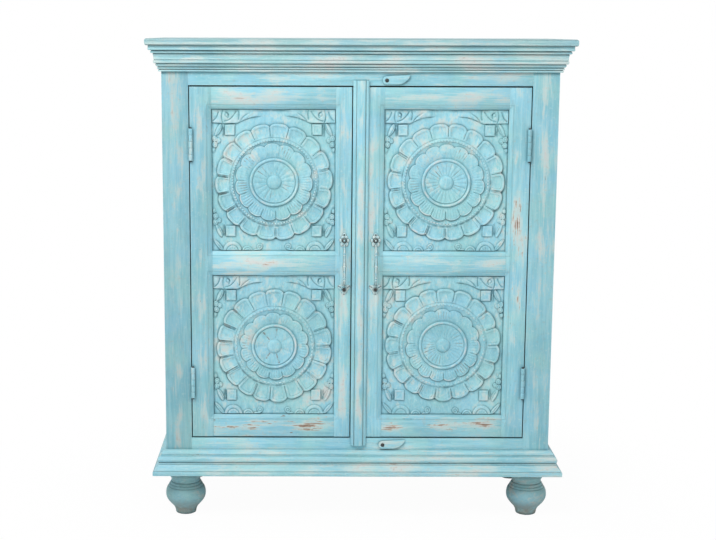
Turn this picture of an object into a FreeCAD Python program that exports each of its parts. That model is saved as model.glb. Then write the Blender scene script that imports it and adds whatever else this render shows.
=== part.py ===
# Low cabinet: two carved panelled doors on a moulded case with four turned feet
import FreeCAD
import Part
import math
import os

V = FreeCAD.Vector

# Overall sizes of the case
BODY_WIDTH = 934.0
BODY_DEPTH = 391.0
CABINET_HEIGHT = 1169.0
FOOT_HEIGHT = 115.0
BASE_BLOCK_HEIGHT = 25.0
BASE_BLOCK_WIDTH = 84.0
BASE_BLOCK_DEPTH = 94.0

# Case frame members
FRONT_POST_WIDTH = 62.5
FRONT_POST_DEPTH = 50.0
REAR_POST_SIZE = 45.0
FRONT_RAIL_THICKNESS = 30.0
TOP_RAIL_HEIGHT = 92.25
BOTTOM_RAIL_HEIGHT = 65.75
SIDE_RAIL_THICKNESS = 24.0
SIDE_TOP_RAIL_HEIGHT = 90.0
SIDE_MID_RAIL_HEIGHT = 60.0
TENON_LENGTH = 26.0
TENON_THICKNESS = 10.0
TENON_SHOULDER = 9.0

# Boards inside and behind the frame
BACK_BOARD_THICKNESS = 12.0
BACK_BOARD_COUNT = 6
SIDE_PANEL_THICKNESS = 10.0
SIDE_PANEL_INSET = 4.0
GROOVE_DEPTH = 8.0
BOTTOM_BOARD_THICKNESS = 18.0
SHELF_THICKNESS = 18.0
SHELF_CLEARANCE = 1.0
UPPER_SHELF_HEIGHT = 775.0
LOWER_SHELF_HEIGHT = 490.0
CLEAT_SIZE = 20.0

# Top slab and mouldings
SLAB_THICKNESS = 16.0
SLAB_OVERHANG = 35.0
SLAB_EDGE_RADIUS = 5.0
CORNICE_HEIGHT = 60.5
CORNICE_PROJECTION = 28.0
PLINTH_HEIGHT = 64.0
PLINTH_PROJECTION = 31.8

# Doors
DOOR_THICKNESS = 30.0
DOOR_SIDE_GAP = 2.5
DOOR_LEVEL_GAP = 3.5
MEETING_GAP = 2.5
HINGE_STILE_WIDTH = 51.0
DOOR_TOP_RAIL_HEIGHT = 52.25
DOOR_MID_RAIL_HEIGHT = 59.5
DOOR_BOTTOM_RAIL_HEIGHT = 54.25
LOWER_PANEL_EXTRA_HEIGHT = 6.0
PANEL_NEAR_CENTRE = 57.5
BEVEL_WIDTH = 10.5
BEVEL_DEPTH = 7.0
PANEL_RECESS = 10.0
PANEL_THICKNESS = 12.0

# Cover strip that hides the meeting line
STRIP_LEFT_OF_CENTRE = 17.0
STRIP_WIDTH = 38.0
STRIP_THICKNESS = 6.0
STRIP_RIB_WIDTH = 20.6
STRIP_RIB_HEIGHT = 4.0
STRIP_ABOVE_DOOR = 15.5
STRIP_BELOW_DOOR = 21.0
STRIP_RELIEF = 0.8

# Carving on the door panels
CARVING_CLEARANCE = 7.75
PETAL_HEIGHT = 4.0
BEAD_RING_TUBE = 2.6
INNER_PETAL_HEIGHT = 6.0
CENTRE_RING_TUBE = 3.4
BOSS_RADIUS = 17.0
BOSS_HEIGHT = 2.8
OUTER_PETAL_COUNT = 18
INNER_PETAL_COUNT = 16
LEAF_CLEARANCE = 21.75
LEAF_DROP = 84.0
LEAF_HEIGHT = 4.0

# Butt hinges
HINGE_LENGTH = 76.0
HINGE_LEAF_WIDTH = 28.0
HINGE_LEAF_THICKNESS = 1.5
KNUCKLE_RADIUS = 4.4
KNUCKLE_COUNT = 5
KNUCKLE_END_GAP = 0.4
HINGE_WEB_THICKNESS = 1.8
PIN_RADIUS = 2.0
PIN_CLEARANCE = 0.05
PIN_HEAD_RADIUS = 3.2
HINGE_PIN_INSET = 2.7
HINGE_PIN_PROUD = 5.0
UPPER_HINGE_BELOW_DOOR_TOP = 135.25
LOWER_HINGE_ABOVE_DOOR_FOOT = 135.75
HINGE_SCREW_RADIUS = 1.6
HINGE_SCREW_HEAD_RADIUS = 3.1
HINGE_SCREW_LENGTH = 15.0

# Pull handles
PULL_LEFT_AT = 35.5
PULL_RIGHT_AT = 39.5
PULL_BELOW_RAIL_MIDDLE = 2.25
PULL_SCREW_SPACING = 119.0
PULL_LOBE_RADIUS = 7.0
PULL_PLATE_THICKNESS = 4.0
PULL_BAR_SPACING = 92.0
PULL_BAR_RADIUS = 3.2
PULL_BAR_SWELL = 1.4
PULL_STANDOFF = 26.0
PULL_BEND_RADIUS = 12.0
PULL_SCREW_RADIUS = 2.0
PULL_SCREW_LENGTH = 22.0
PULL_SCREW_HEAD_RADIUS = 4.0
PULL_SCREW_HEAD_HEIGHT = 2.0

# Swivelling latches
LATCH_AT = 61.5
UPPER_LATCH_ABOVE_DOOR = 16.0
LOWER_LATCH_BELOW_DOOR = 19.5
LATCH_LENGTH = 54.5
LATCH_HEAD_RADIUS = 9.8
LATCH_THICKNESS = 4.0
LATCH_EDGE_ROUNDING = 1.2
LATCH_COLLAR_THICKNESS = 1.3
LATCH_COLLAR_RADIUS = 6.0
LATCH_CLEARANCE = 0.1
LATCH_SCREW_RADIUS = 2.5
LATCH_SCREW_CLEARANCE = 0.05
LATCH_SCREW_HEAD_RADIUS = 4.6
LATCH_SCREW_HEAD_HEIGHT = 2.4
LATCH_SCREW_DEPTH = 20.0

# Turned feet
FOOT_RADIUS = 49.5
FRONT_FOOT_INSET = 52.0
REAR_FOOT_INSET = 51.0
FOOT_TENON_RADIUS = 12.0
FOOT_TENON_LENGTH = 20.0

# Cornice section: shares of its projection and of its height, walked outwards and up
CORNICE_SHARES = (
    ("line", 0.18, 0.0),
    ("line", 0.20, 0.05),
    ("arc", 0.27, 0.17, 0.50, 0.30),
    ("line", 0.555, 0.315),
    ("arc", 0.515, 0.46, 0.56, 0.62),
    ("line", 0.70, 0.64),
    ("arc", 0.80, 0.74, 1.0, 0.83),
    ("line", 1.0, 1.0),
)

# Plinth section: shares of its projection and of its height, walked outwards and up
PLINTH_SHARES = (
    ("line", 0.90, 0.0),
    ("arc", 0.98, 0.025, 1.0, 0.075),
    ("line", 0.985, 0.20),
    ("line", 0.94, 0.21),
    ("arc", 0.74, 0.33, 0.56, 0.42),
    ("line", 0.545, 0.51),
    ("arc", 0.62, 0.62, 0.555, 0.72),
    ("line", 0.40, 0.75),
    ("line", 0.40, 0.80),
    ("arc", 0.33, 0.94, 0.10, 1.0),
)

# Foot section: shares of its radius and of its height, walked up from the floor
FOOT_SHARES = (
    ("line", 0.475, 0.0),
    ("line", 0.505, 0.007),
    ("line", 0.515, 0.025),
    ("arc", 0.54, 0.085, 0.60, 0.14),
    ("line", 0.63, 0.16),
    ("line", 0.655, 0.172),
    ("arc", 1.0, 0.44, 0.79, 0.66),
    ("line", 0.765, 0.675),
    ("line", 0.765, 0.69),
    ("arc", 0.72, 0.745, 0.735, 0.81),
    ("line", 0.775, 0.83),
    ("arc", 0.795, 0.865, 0.775, 0.90),
    ("line", 0.745, 0.91),
    ("line", 0.745, 1.0),
)

# Corner leaf outline: shares of its length along the rail and of its drop along the stile
LEAF_SHARES = (
    (0.03, 0.04), (1.0, 0.04), (0.95, 0.22), (0.75, 0.27), (0.60, 0.31), (0.45, 0.41),
    (0.30, 0.43), (0.20, 0.47), (0.17, 0.70), (0.16, 0.95), (0.10, 1.0), (0.03, 0.98),
)

# Latch lever outline: shares of its length, from the straight edge round the tip
LEVER_SHARES = (
    ("line", 0.95, 0.233),
    ("arc", 0.998, 0.215, 0.99, 0.165),
    ("arc", 0.79, -0.064, 0.40, -0.171),
)

# Rings of the carving, as shares of its outer radius
INNER_CARVING_SHARE = 0.669
BEAD_RING_SHARE = 0.734
CENTRE_RING_SHARE = 0.3885

# How far each petal's own circle sits out, as shares of its ring's radius
OUTER_PETAL_SHARE = 0.825
INNER_PETAL_SHARE = 0.81

# Rosette lobes of a pull: across and outwards, in shares of a lobe's radius
LOBE_SHARES = ((0.0, 0.0), (0.0, 1.35), (-0.78, 0.35), (0.78, 0.35), (0.0, -1.1))

# Where a leaf's screws sit, as shares of the hinge's length and of the leaf's width
HINGE_SCREW_SHARES = ((0.12, 0.40), (0.50, 0.66), (0.88, 0.40))

# Levels and planes worked out from the sizes above
CORNER_X = BODY_WIDTH / 2
FRONT_Y = SLAB_OVERHANG - (BODY_DEPTH + SLAB_OVERHANG) / 2
BACK_Y = FRONT_Y + BODY_DEPTH
FRAME_BACK_Y = BACK_Y - BACK_BOARD_THICKNESS
FRAME_Z = FOOT_HEIGHT + BASE_BLOCK_HEIGHT
SLAB_Z = CABINET_HEIGHT - SLAB_THICKNESS
OPENING_Z = FRAME_Z + BOTTOM_RAIL_HEIGHT
OPENING_TOP_Z = SLAB_Z - TOP_RAIL_HEIGHT
OPENING_X = CORNER_X - FRONT_POST_WIDTH
REAR_POST_X = CORNER_X - REAR_POST_SIZE
FRONT_POST_BACK_Y = FRONT_Y + FRONT_POST_DEPTH
REAR_POST_Y = FRAME_BACK_Y - REAR_POST_SIZE
SIDE_INNER_X = CORNER_X - SIDE_RAIL_THICKNESS
DOOR_OUTER_X = OPENING_X - DOOR_SIDE_GAP
DOOR_Z = OPENING_Z + DOOR_LEVEL_GAP
DOOR_TOP_Z = OPENING_TOP_Z - DOOR_LEVEL_GAP
DOOR_BACK_Y = FRONT_Y + DOOR_THICKNESS
LEFT_DOOR_END_X = -STRIP_LEFT_OF_CENTRE - MEETING_GAP
RIGHT_DOOR_START_X = -STRIP_LEFT_OF_CENTRE
STRIP_X = RIGHT_DOOR_START_X
PANEL_OUTER_X = DOOR_OUTER_X - HINGE_STILE_WIDTH
LOWER_PANEL_Z = DOOR_Z + DOOR_BOTTOM_RAIL_HEIGHT
UPPER_PANEL_TOP_Z = DOOR_TOP_Z - DOOR_TOP_RAIL_HEIGHT
PANEL_HEIGHTS = UPPER_PANEL_TOP_Z - LOWER_PANEL_Z - DOOR_MID_RAIL_HEIGHT
LOWER_PANEL_TOP_Z = LOWER_PANEL_Z + (PANEL_HEIGHTS + LOWER_PANEL_EXTRA_HEIGHT) / 2
UPPER_PANEL_Z = LOWER_PANEL_TOP_Z + DOOR_MID_RAIL_HEIGHT
PANEL_FACE_Y = FRONT_Y + PANEL_RECESS
UPPER_HINGE_Z = DOOR_TOP_Z - UPPER_HINGE_BELOW_DOOR_TOP
LOWER_HINGE_Z = DOOR_Z + LOWER_HINGE_ABOVE_DOOR_FOOT
PULL_Z = (LOWER_PANEL_TOP_Z + UPPER_PANEL_Z) / 2 - PULL_BELOW_RAIL_MIDDLE
HINGE_X = DOOR_OUTER_X - HINGE_PIN_INSET
HINGE_Y = FRONT_Y - HINGE_PIN_PROUD
LATCH_UPPER_Z = DOOR_TOP_Z + UPPER_LATCH_ABOVE_DOOR
LATCH_LOWER_Z = DOOR_Z - LOWER_LATCH_BELOW_DOOR
BLOCK_MIDDLE = BASE_BLOCK_WIDTH / 2
FOOT_X = CORNER_X - BLOCK_MIDDLE
FRONT_FOOT_Y = FRONT_Y + FRONT_FOOT_INSET
REAR_FOOT_Y = BACK_Y - REAR_FOOT_INSET


# A box given by two opposite corners
def box(x0, y0, z0, x1, y1, z1):
    return Part.makeBox(x1 - x0, y1 - y0, z1 - z0, V(x0, y0, z0))


# The mirror image across the middle of the cabinet
def mirrored(shape):
    return shape.mirror(V(0, 0, 0), V(1, 0, 0))


# Save one named piece
def save(name, shape):
    shape.exportStep("parts/" + name + ".step")


# A group of separate solids
def group(shapes):
    solids = []
    for shape in shapes:
        solids.extend(shape.Solids)
    return Part.makeCompound(solids)


# Join solids and merge the faces that run on
def joined(first, rest):
    return first.fuse(rest).removeSplitter()


# Edges along a walk of straight lines and arcs
def walk(start, steps, place):
    edges = []
    here = place(start[0], start[1])
    for step in steps:
        there = place(step[-2], step[-1])
        if step[0] == "line":
            edges.append(Part.makeLine(here, there))
        else:
            edges.append(Part.Arc(here, place(step[1], step[2]), there).toShape())
        here = there
    return edges, here


# A face closed back from the end of a walk through more points
def walked_face(start, steps, closing, place):
    edges, here = walk(start, steps, place)
    for point in closing:
        there = place(point[0], point[1])
        edges.append(Part.makeLine(here, there))
        here = there
    return Part.Face(Part.Wire(edges))


# Plan outline that mitres a front moulding
def front_mitre(reach, z0, height):
    points = [
        V(-CORNER_X, FRONT_Y, z0), V(CORNER_X, FRONT_Y, z0),
        V(CORNER_X + reach, FRONT_Y - reach, z0), V(-CORNER_X - reach, FRONT_Y - reach, z0),
    ]
    return Part.Face(Part.makePolygon(points + points[:1])).extrude(V(0, 0, height))


# Plan outline that mitres a side moulding on the right
def side_mitre(reach, z0, height):
    points = [
        V(CORNER_X, FRONT_Y, z0), V(CORNER_X, BACK_Y, z0),
        V(CORNER_X + reach, BACK_Y, z0), V(CORNER_X + reach, FRONT_Y - reach, z0),
    ]
    return Part.Face(Part.makePolygon(points + points[:1])).extrude(V(0, 0, height))


# Front and right-hand side lengths of one moulding
def moulding(shares, reach, z0, height):
    def on_front(out, up):
        return V(-CORNER_X - reach, FRONT_Y - out * reach, z0 + up * height)

    def on_side(out, up):
        return V(CORNER_X + out * reach, FRONT_Y - reach, z0 + up * height)

    closing = ((0, 1), (0, 0))
    front = walked_face((0, 0), shares, closing, on_front)
    front = front.extrude(V(BODY_WIDTH + reach + reach, 0, 0))
    side = walked_face((0, 0), shares, closing, on_side)
    side = side.extrude(V(0, BODY_DEPTH + reach, 0))
    return front.common(front_mitre(reach, z0, height)), side.common(side_mitre(reach, z0, height))


# Top slab with a rounded nose on its front and sides
def top_board():
    edge_x = CORNER_X + SLAB_OVERHANG
    front_y = FRONT_Y - SLAB_OVERHANG
    slab = box(-edge_x, front_y, SLAB_Z, edge_x, BACK_Y, CABINET_HEIGHT)
    round_edges = []
    for edge in slab.Edges:
        middle = edge.CenterOfMass
        level = abs(edge.BoundBox.ZLength) < SLAB_THICKNESS / 2
        at_back = abs(middle.y - BACK_Y) < SLAB_EDGE_RADIUS
        if level and not at_back:
            round_edges.append(edge)
    return slab.makeFillet(SLAB_EDGE_RADIUS, round_edges)


# Rail across the front or back with a tenon at each end
def cross_rail(x_end, y0, y1, z0, z1):
    rail = box(-x_end, y0, z0, x_end, y1, z1)
    middle = (y0 + y1) / 2
    half = TENON_THICKNESS / 2
    tenon = box(-x_end - TENON_LENGTH, middle - half, z0 + TENON_SHOULDER,
                x_end + TENON_LENGTH, middle + half, z1 - TENON_SHOULDER)
    return joined(rail, tenon)


# Rail along the right side with a tenon at each end
def side_rail(z0, z1):
    rail = box(SIDE_INNER_X, FRONT_POST_BACK_Y, z0, CORNER_X, REAR_POST_Y, z1)
    middle = (SIDE_INNER_X + CORNER_X) / 2
    half = TENON_THICKNESS / 2
    reach = TENON_LENGTH / 2
    tenon = box(middle - half, FRONT_POST_BACK_Y - reach, z0 + TENON_SHOULDER,
                middle + half, REAR_POST_Y + reach, z1 - TENON_SHOULDER)
    return joined(rail, tenon)


# Case: posts, rails, panels, boards, shelves and cleats
def build_case(screws):
    top_rail = cross_rail(OPENING_X, FRONT_Y, FRONT_Y + FRONT_RAIL_THICKNESS, OPENING_TOP_Z, SLAB_Z)
    bottom_rail = cross_rail(OPENING_X, FRONT_Y, FRONT_Y + FRONT_RAIL_THICKNESS, FRAME_Z, OPENING_Z)
    rear_y = FRAME_BACK_Y - SIDE_RAIL_THICKNESS
    rear_top = cross_rail(REAR_POST_X, rear_y, FRAME_BACK_Y, SLAB_Z - SIDE_TOP_RAIL_HEIGHT, SLAB_Z)
    rear_bottom = cross_rail(REAR_POST_X, rear_y, FRAME_BACK_Y, FRAME_Z, OPENING_Z)
    middle_z = (OPENING_Z + SLAB_Z - SIDE_TOP_RAIL_HEIGHT - SIDE_MID_RAIL_HEIGHT) / 2
    levels = (
        (FRAME_Z, OPENING_Z),
        (middle_z, middle_z + SIDE_MID_RAIL_HEIGHT),
        (SLAB_Z - SIDE_TOP_RAIL_HEIGHT, SLAB_Z),
    )
    right_rails = [side_rail(low, high) for low, high in levels]
    panel_x = CORNER_X - SIDE_PANEL_INSET
    right_panels = []
    for below, above in zip(levels[:-1], levels[1:]):
        right_panels.append(box(
            panel_x - SIDE_PANEL_THICKNESS, FRONT_POST_BACK_Y - GROOVE_DEPTH, below[1] - GROOVE_DEPTH,
            panel_x, REAR_POST_Y + GROOVE_DEPTH, above[0] + GROOVE_DEPTH))
    right_rails = [rail.cut(group(right_panels)) for rail in right_rails]
    front_post = box(OPENING_X, FRONT_Y, FRAME_Z, CORNER_X, FRONT_POST_BACK_Y, SLAB_Z)
    rear_post = box(REAR_POST_X, REAR_POST_Y, FRAME_Z, CORNER_X, FRAME_BACK_Y, SLAB_Z)
    side_parts = right_rails + right_panels
    front_post = front_post.cut(side_parts + [top_rail, bottom_rail])
    rear_post = rear_post.cut(side_parts + [rear_top, rear_bottom])

    bottom = box(-SIDE_INNER_X, FRONT_Y + FRONT_RAIL_THICKNESS, OPENING_Z - BOTTOM_BOARD_THICKNESS,
                 SIDE_INNER_X, rear_y, OPENING_Z)
    plain_posts = []
    for post in (box(OPENING_X, FRONT_Y, FRAME_Z, CORNER_X, FRONT_POST_BACK_Y, SLAB_Z),
                 box(REAR_POST_X, REAR_POST_Y, FRAME_Z, CORNER_X, FRAME_BACK_Y, SLAB_Z)):
        plain_posts.extend([post, mirrored(post)])
    bottom = bottom.cut(plain_posts)
    cleats = []
    shelves = []
    for level in (OPENING_Z - BOTTOM_BOARD_THICKNESS, LOWER_SHELF_HEIGHT, UPPER_SHELF_HEIGHT):
        cleat = box(SIDE_INNER_X - CLEAT_SIZE, FRONT_POST_BACK_Y, level - CLEAT_SIZE,
                    SIDE_INNER_X, REAR_POST_Y, level)
        cleats.extend([cleat, mirrored(cleat)])
    for level in (LOWER_SHELF_HEIGHT, UPPER_SHELF_HEIGHT):
        shelf = box(-SIDE_INNER_X + SHELF_CLEARANCE, FRONT_POST_BACK_Y + SHELF_CLEARANCE, level,
                    SIDE_INNER_X - SHELF_CLEARANCE, FRAME_BACK_Y - SHELF_CLEARANCE,
                    level + SHELF_THICKNESS)
        shelves.append(shelf.cut(plain_posts))

    boards = []
    board_width = BODY_WIDTH / BACK_BOARD_COUNT
    for number in range(BACK_BOARD_COUNT):
        left = -CORNER_X + number * board_width
        boards.append(box(left, FRAME_BACK_Y, FRAME_Z, left + board_width, BACK_Y, SLAB_Z))

    save("front_top_rail", top_rail.cut(screws))
    save("front_bottom_rail", bottom_rail.cut(screws))
    save("rear_rails", group([rear_top, rear_bottom]))
    save("right_side_rails", group(right_rails))
    save("left_side_rails", group([mirrored(rail) for rail in right_rails]))
    save("right_side_panels", group(right_panels))
    save("left_side_panels", group([mirrored(panel) for panel in right_panels]))
    save("rear_right_post", rear_post)
    save("rear_left_post", mirrored(rear_post))
    save("bottom_board", bottom)
    save("lower_shelf", shelves[0])
    save("upper_shelf", shelves[1])
    save("shelf_cleats", group(cleats))
    save("back_boards", group(boards))
    save("top_board", top_board())
    return front_post


# Mouldings round the top and the foot of the case
def build_mouldings():
    front, side = moulding(CORNICE_SHARES, CORNICE_PROJECTION, SLAB_Z - CORNICE_HEIGHT, CORNICE_HEIGHT)
    save("cornice_front", front)
    save("cornice_right", side)
    save("cornice_left", mirrored(side))
    front, side = moulding(PLINTH_SHARES, PLINTH_PROJECTION, FOOT_HEIGHT, PLINTH_HEIGHT)
    save("plinth_front", front)
    save("plinth_right", side)
    save("plinth_left", mirrored(side))


# One turned foot with the round tenon that holds it in its block
def turned_foot():
    def place(out, up):
        return V(out * FOOT_RADIUS, 0, up * FOOT_HEIGHT)

    section = walked_face((0, 0), FOOT_SHARES, ((0, 1), (0, 0)), place)
    body = section.revolve(V(0, 0, 0), V(0, 0, 1), 360)
    tenon = Part.makeCylinder(FOOT_TENON_RADIUS, FOOT_TENON_LENGTH + FOOT_TENON_LENGTH,
                              V(0, 0, FOOT_HEIGHT - FOOT_TENON_LENGTH))
    return joined(body, tenon)


# Four feet and the blocks they are let into
def build_feet():
    blocks = []
    rear_block_y = BACK_Y - BASE_BLOCK_DEPTH
    places = (
        ("front_right_foot", FOOT_X, FRONT_FOOT_Y, FRONT_Y),
        ("front_left_foot", -FOOT_X, FRONT_FOOT_Y, FRONT_Y),
        ("rear_right_foot", FOOT_X, REAR_FOOT_Y, rear_block_y),
        ("rear_left_foot", -FOOT_X, REAR_FOOT_Y, rear_block_y),
    )
    for name, x, y, block_y in places:
        foot = turned_foot()
        foot.translate(V(x, y, 0))
        save(name, foot)
        block = box(x - BLOCK_MIDDLE, block_y, FOOT_HEIGHT,
                    x + BLOCK_MIDDLE, block_y + BASE_BLOCK_DEPTH, FRAME_Z)
        blocks.append(block.cut(foot))
    save("foot_blocks", group(blocks))


# Stations of the knuckles along one hinge
def knuckle_spans(bottom):
    step = HINGE_LENGTH / KNUCKLE_COUNT
    half_gap = KNUCKLE_END_GAP / 2
    return [(bottom + number * step + half_gap, bottom + (number + 1) * step - half_gap)
            for number in range(KNUCKLE_COUNT)]


# Countersunk screw along X from a point on a leaf's open face, driven towards plus or minus X
def hinge_screw(x, y, z, way):
    axis = V(way, 0, 0)
    head = Part.makeCone(HINGE_SCREW_HEAD_RADIUS, HINGE_SCREW_RADIUS, HINGE_LEAF_THICKNESS,
                         V(x, y, z), axis)
    shank = Part.makeCylinder(HINGE_SCREW_RADIUS, HINGE_SCREW_LENGTH, V(x, y, z), axis)
    return joined(head, shank)


# The screws of one leaf
def leaf_screws(face_x, bottom, way):
    screws = []
    for along, across in HINGE_SCREW_SHARES:
        screws.append(hinge_screw(face_x, FRONT_Y + across * HINGE_LEAF_WIDTH,
                                  bottom + along * HINGE_LENGTH, way))
    return screws


# One leaf on the right: its plate, and a web and a rolled knuckle at each of its stations
def hinge_leaf(plate_x0, plate_x1, web_x0, web_x1, bottom, spans):
    plate = box(plate_x0, FRONT_Y, bottom, plate_x1, FRONT_Y + HINGE_LEAF_WIDTH, bottom + HINGE_LENGTH)
    solids = []
    half_web = HINGE_WEB_THICKNESS / 2
    for low, high in spans:
        solids.append(Part.makeCylinder(KNUCKLE_RADIUS, high - low, V(HINGE_X, HINGE_Y, low)))
        solids.append(box(plate_x0, HINGE_Y - half_web, low, plate_x1, FRONT_Y, high))
        solids.append(box(web_x0, HINGE_Y - half_web, low, web_x1, HINGE_Y + half_web, high))
    leaf = joined(plate, solids)
    bore = Part.makeCylinder(PIN_RADIUS + PIN_CLEARANCE, HINGE_LENGTH, V(HINGE_X, HINGE_Y, bottom))
    return leaf.cut(bore)


# Pin with a rounded head at each end
def hinge_pin(bottom):
    spans = knuckle_spans(bottom)
    low = spans[0][0]
    high = spans[-1][1]
    pin = Part.makeCylinder(PIN_RADIUS, high - low, V(HINGE_X, HINGE_Y, low))
    heads = [
        Part.makeSphere(PIN_HEAD_RADIUS, V(HINGE_X, HINGE_Y, high), V(0, 0, 1), 0, 90),
        Part.makeSphere(PIN_HEAD_RADIUS, V(HINGE_X, HINGE_Y, low), V(0, 0, 1), -90, 0),
    ]
    return joined(pin, heads)


# Hinge pieces of the right-hand side
def build_hinges(front_post):
    frame_leaves = []
    door_leaves = []
    pins = []
    frame_screws = []
    door_screws = []
    pockets = []
    for middle in (LOWER_HINGE_Z, UPPER_HINGE_Z):
        bottom = middle - HINGE_LENGTH / 2
        spans = knuckle_spans(bottom)
        frame_face = OPENING_X - HINGE_LEAF_THICKNESS
        frame_leaf = hinge_leaf(frame_face, OPENING_X, HINGE_X, OPENING_X, bottom, spans[::2])
        door_face = DOOR_OUTER_X
        door_back = DOOR_OUTER_X - HINGE_LEAF_THICKNESS
        door_leaf = hinge_leaf(door_back, door_face, HINGE_X, door_face, bottom, spans[1::2])
        in_post = leaf_screws(frame_face, bottom, 1)
        in_door = leaf_screws(door_face, bottom, -1)
        frame_leaves.append(frame_leaf.cut(in_post))
        door_leaves.append(door_leaf.cut(in_door))
        frame_screws.extend(in_post)
        door_screws.extend(in_door)
        pins.append(hinge_pin(bottom))
        pockets.append(box(door_back, FRONT_Y, bottom, door_face, FRONT_Y + HINGE_LEAF_WIDTH,
                           bottom + HINGE_LENGTH))
    post = front_post.cut(frame_screws)
    save("front_right_post", post)
    save("front_left_post", mirrored(post))
    save("frame_hinge_leaves", group(frame_leaves + [mirrored(leaf) for leaf in frame_leaves]))
    save("hinge_pins", group(pins + [mirrored(pin) for pin in pins]))
    save("frame_hinge_screws", group(frame_screws + [mirrored(screw) for screw in frame_screws]))
    save("right_door_hinge_leaves", group(door_leaves))
    save("left_door_hinge_leaves", group([mirrored(leaf) for leaf in door_leaves]))
    save("right_door_hinge_screws", group(door_screws))
    save("left_door_hinge_screws", group([mirrored(screw) for screw in door_screws]))
    return pockets + door_screws


# Raised disc with a scalloped rim of round petals, rising from zero towards the front
def scalloped(radius, share, count, height):
    ring = radius * share
    petal = radius - ring
    turn = 2 * math.pi / count
    axis = V(0, -1, 0)
    shapes = []
    for number in range(count):
        angle = turn * (number + number + 1) / 2
        centre = V(ring * math.cos(angle), 0, ring * math.sin(angle))
        shapes.append(Part.makeCylinder(petal, height, centre, axis))
    core = Part.makeCylinder(ring, height, V(0, 0, 0), axis)
    return core.fuse(shapes).removeSplitter()


# One corner's spray of leaves, walked from the corner of the panel
def corner_leaf(x, z, x_way, z_way, length):
    points = []
    for along, down in LEAF_SHARES:
        points.append(V(x + x_way * along * length, 0, z + z_way * down * LEAF_DROP))
    return Part.Face(Part.makePolygon(points + points[:1])).extrude(V(0, -LEAF_HEIGHT, 0))


# Carved panel made about its own middle: a board tongued into its frame, the round carving
# and four corner sprays
def carved_panel(x0, x1, z0, z1):
    half_x = (x1 - x0) / 2
    half_z = (z1 - z0) / 2
    place = V((x0 + x1) / 2, PANEL_FACE_Y, (z0 + z1) / 2)
    board = box(-half_x - GROOVE_DEPTH, 0, -half_z - GROOVE_DEPTH,
                half_x + GROOVE_DEPTH, PANEL_THICKNESS, half_z + GROOVE_DEPTH)
    radius = min(half_x, half_z) - CARVING_CLEARANCE
    toward = V(0, 1, 0)
    boss_reach = (BOSS_RADIUS * BOSS_RADIUS + BOSS_HEIGHT * BOSS_HEIGHT) / (BOSS_HEIGHT + BOSS_HEIGHT)
    boss_y = -INNER_PETAL_HEIGHT - BOSS_HEIGHT
    boss = Part.makeSphere(boss_reach, V(0, boss_y + boss_reach, 0))
    boss = boss.common(Part.makeCylinder(BOSS_RADIUS, BOSS_HEIGHT + INNER_PETAL_HEIGHT / 2,
                                         V(0, boss_y, 0), toward))
    parts = [
        scalloped(radius, OUTER_PETAL_SHARE, OUTER_PETAL_COUNT, PETAL_HEIGHT),
        scalloped(radius * INNER_CARVING_SHARE, INNER_PETAL_SHARE, INNER_PETAL_COUNT, INNER_PETAL_HEIGHT),
        Part.makeTorus(radius * BEAD_RING_SHARE, BEAD_RING_TUBE, V(0, -PETAL_HEIGHT, 0), toward),
        Part.makeTorus(radius * CENTRE_RING_SHARE, CENTRE_RING_TUBE, V(0, -INNER_PETAL_HEIGHT, 0), toward),
        boss,
    ]
    for x_way in (-1, 1):
        for z_way in (-1, 1):
            parts.append(corner_leaf(-x_way * half_x, -z_way * half_z, x_way, z_way,
                                     half_x - LEAF_CLEARANCE))
    carved = joined(board, parts)
    for shape in (board, carved):
        shape.translate(place)
    return board, carved


# Cutter that bevels a door frame round one panel opening
def bevel_cutter(x0, x1, z0, z1):
    return Part.makeWedge(x0 - BEVEL_WIDTH, FRONT_Y, z0 - BEVEL_WIDTH, z0, x0,
                          x1 + BEVEL_WIDTH, FRONT_Y + BEVEL_DEPTH, z1 + BEVEL_WIDTH, z1, x1)


# Door rail with a tenon into the stile at each end
def door_rail(x0, x1, z0, z1):
    rail = box(x0, FRONT_Y, z0, x1, DOOR_BACK_Y, z1)
    middle = (PANEL_FACE_Y + DOOR_BACK_Y) / 2
    half = TENON_THICKNESS / 2
    tenon = box(x0 - TENON_LENGTH, middle - half, z0 + TENON_SHOULDER,
                x1 + TENON_LENGTH, middle + half, z1 - TENON_SHOULDER)
    return joined(rail, tenon)


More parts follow.
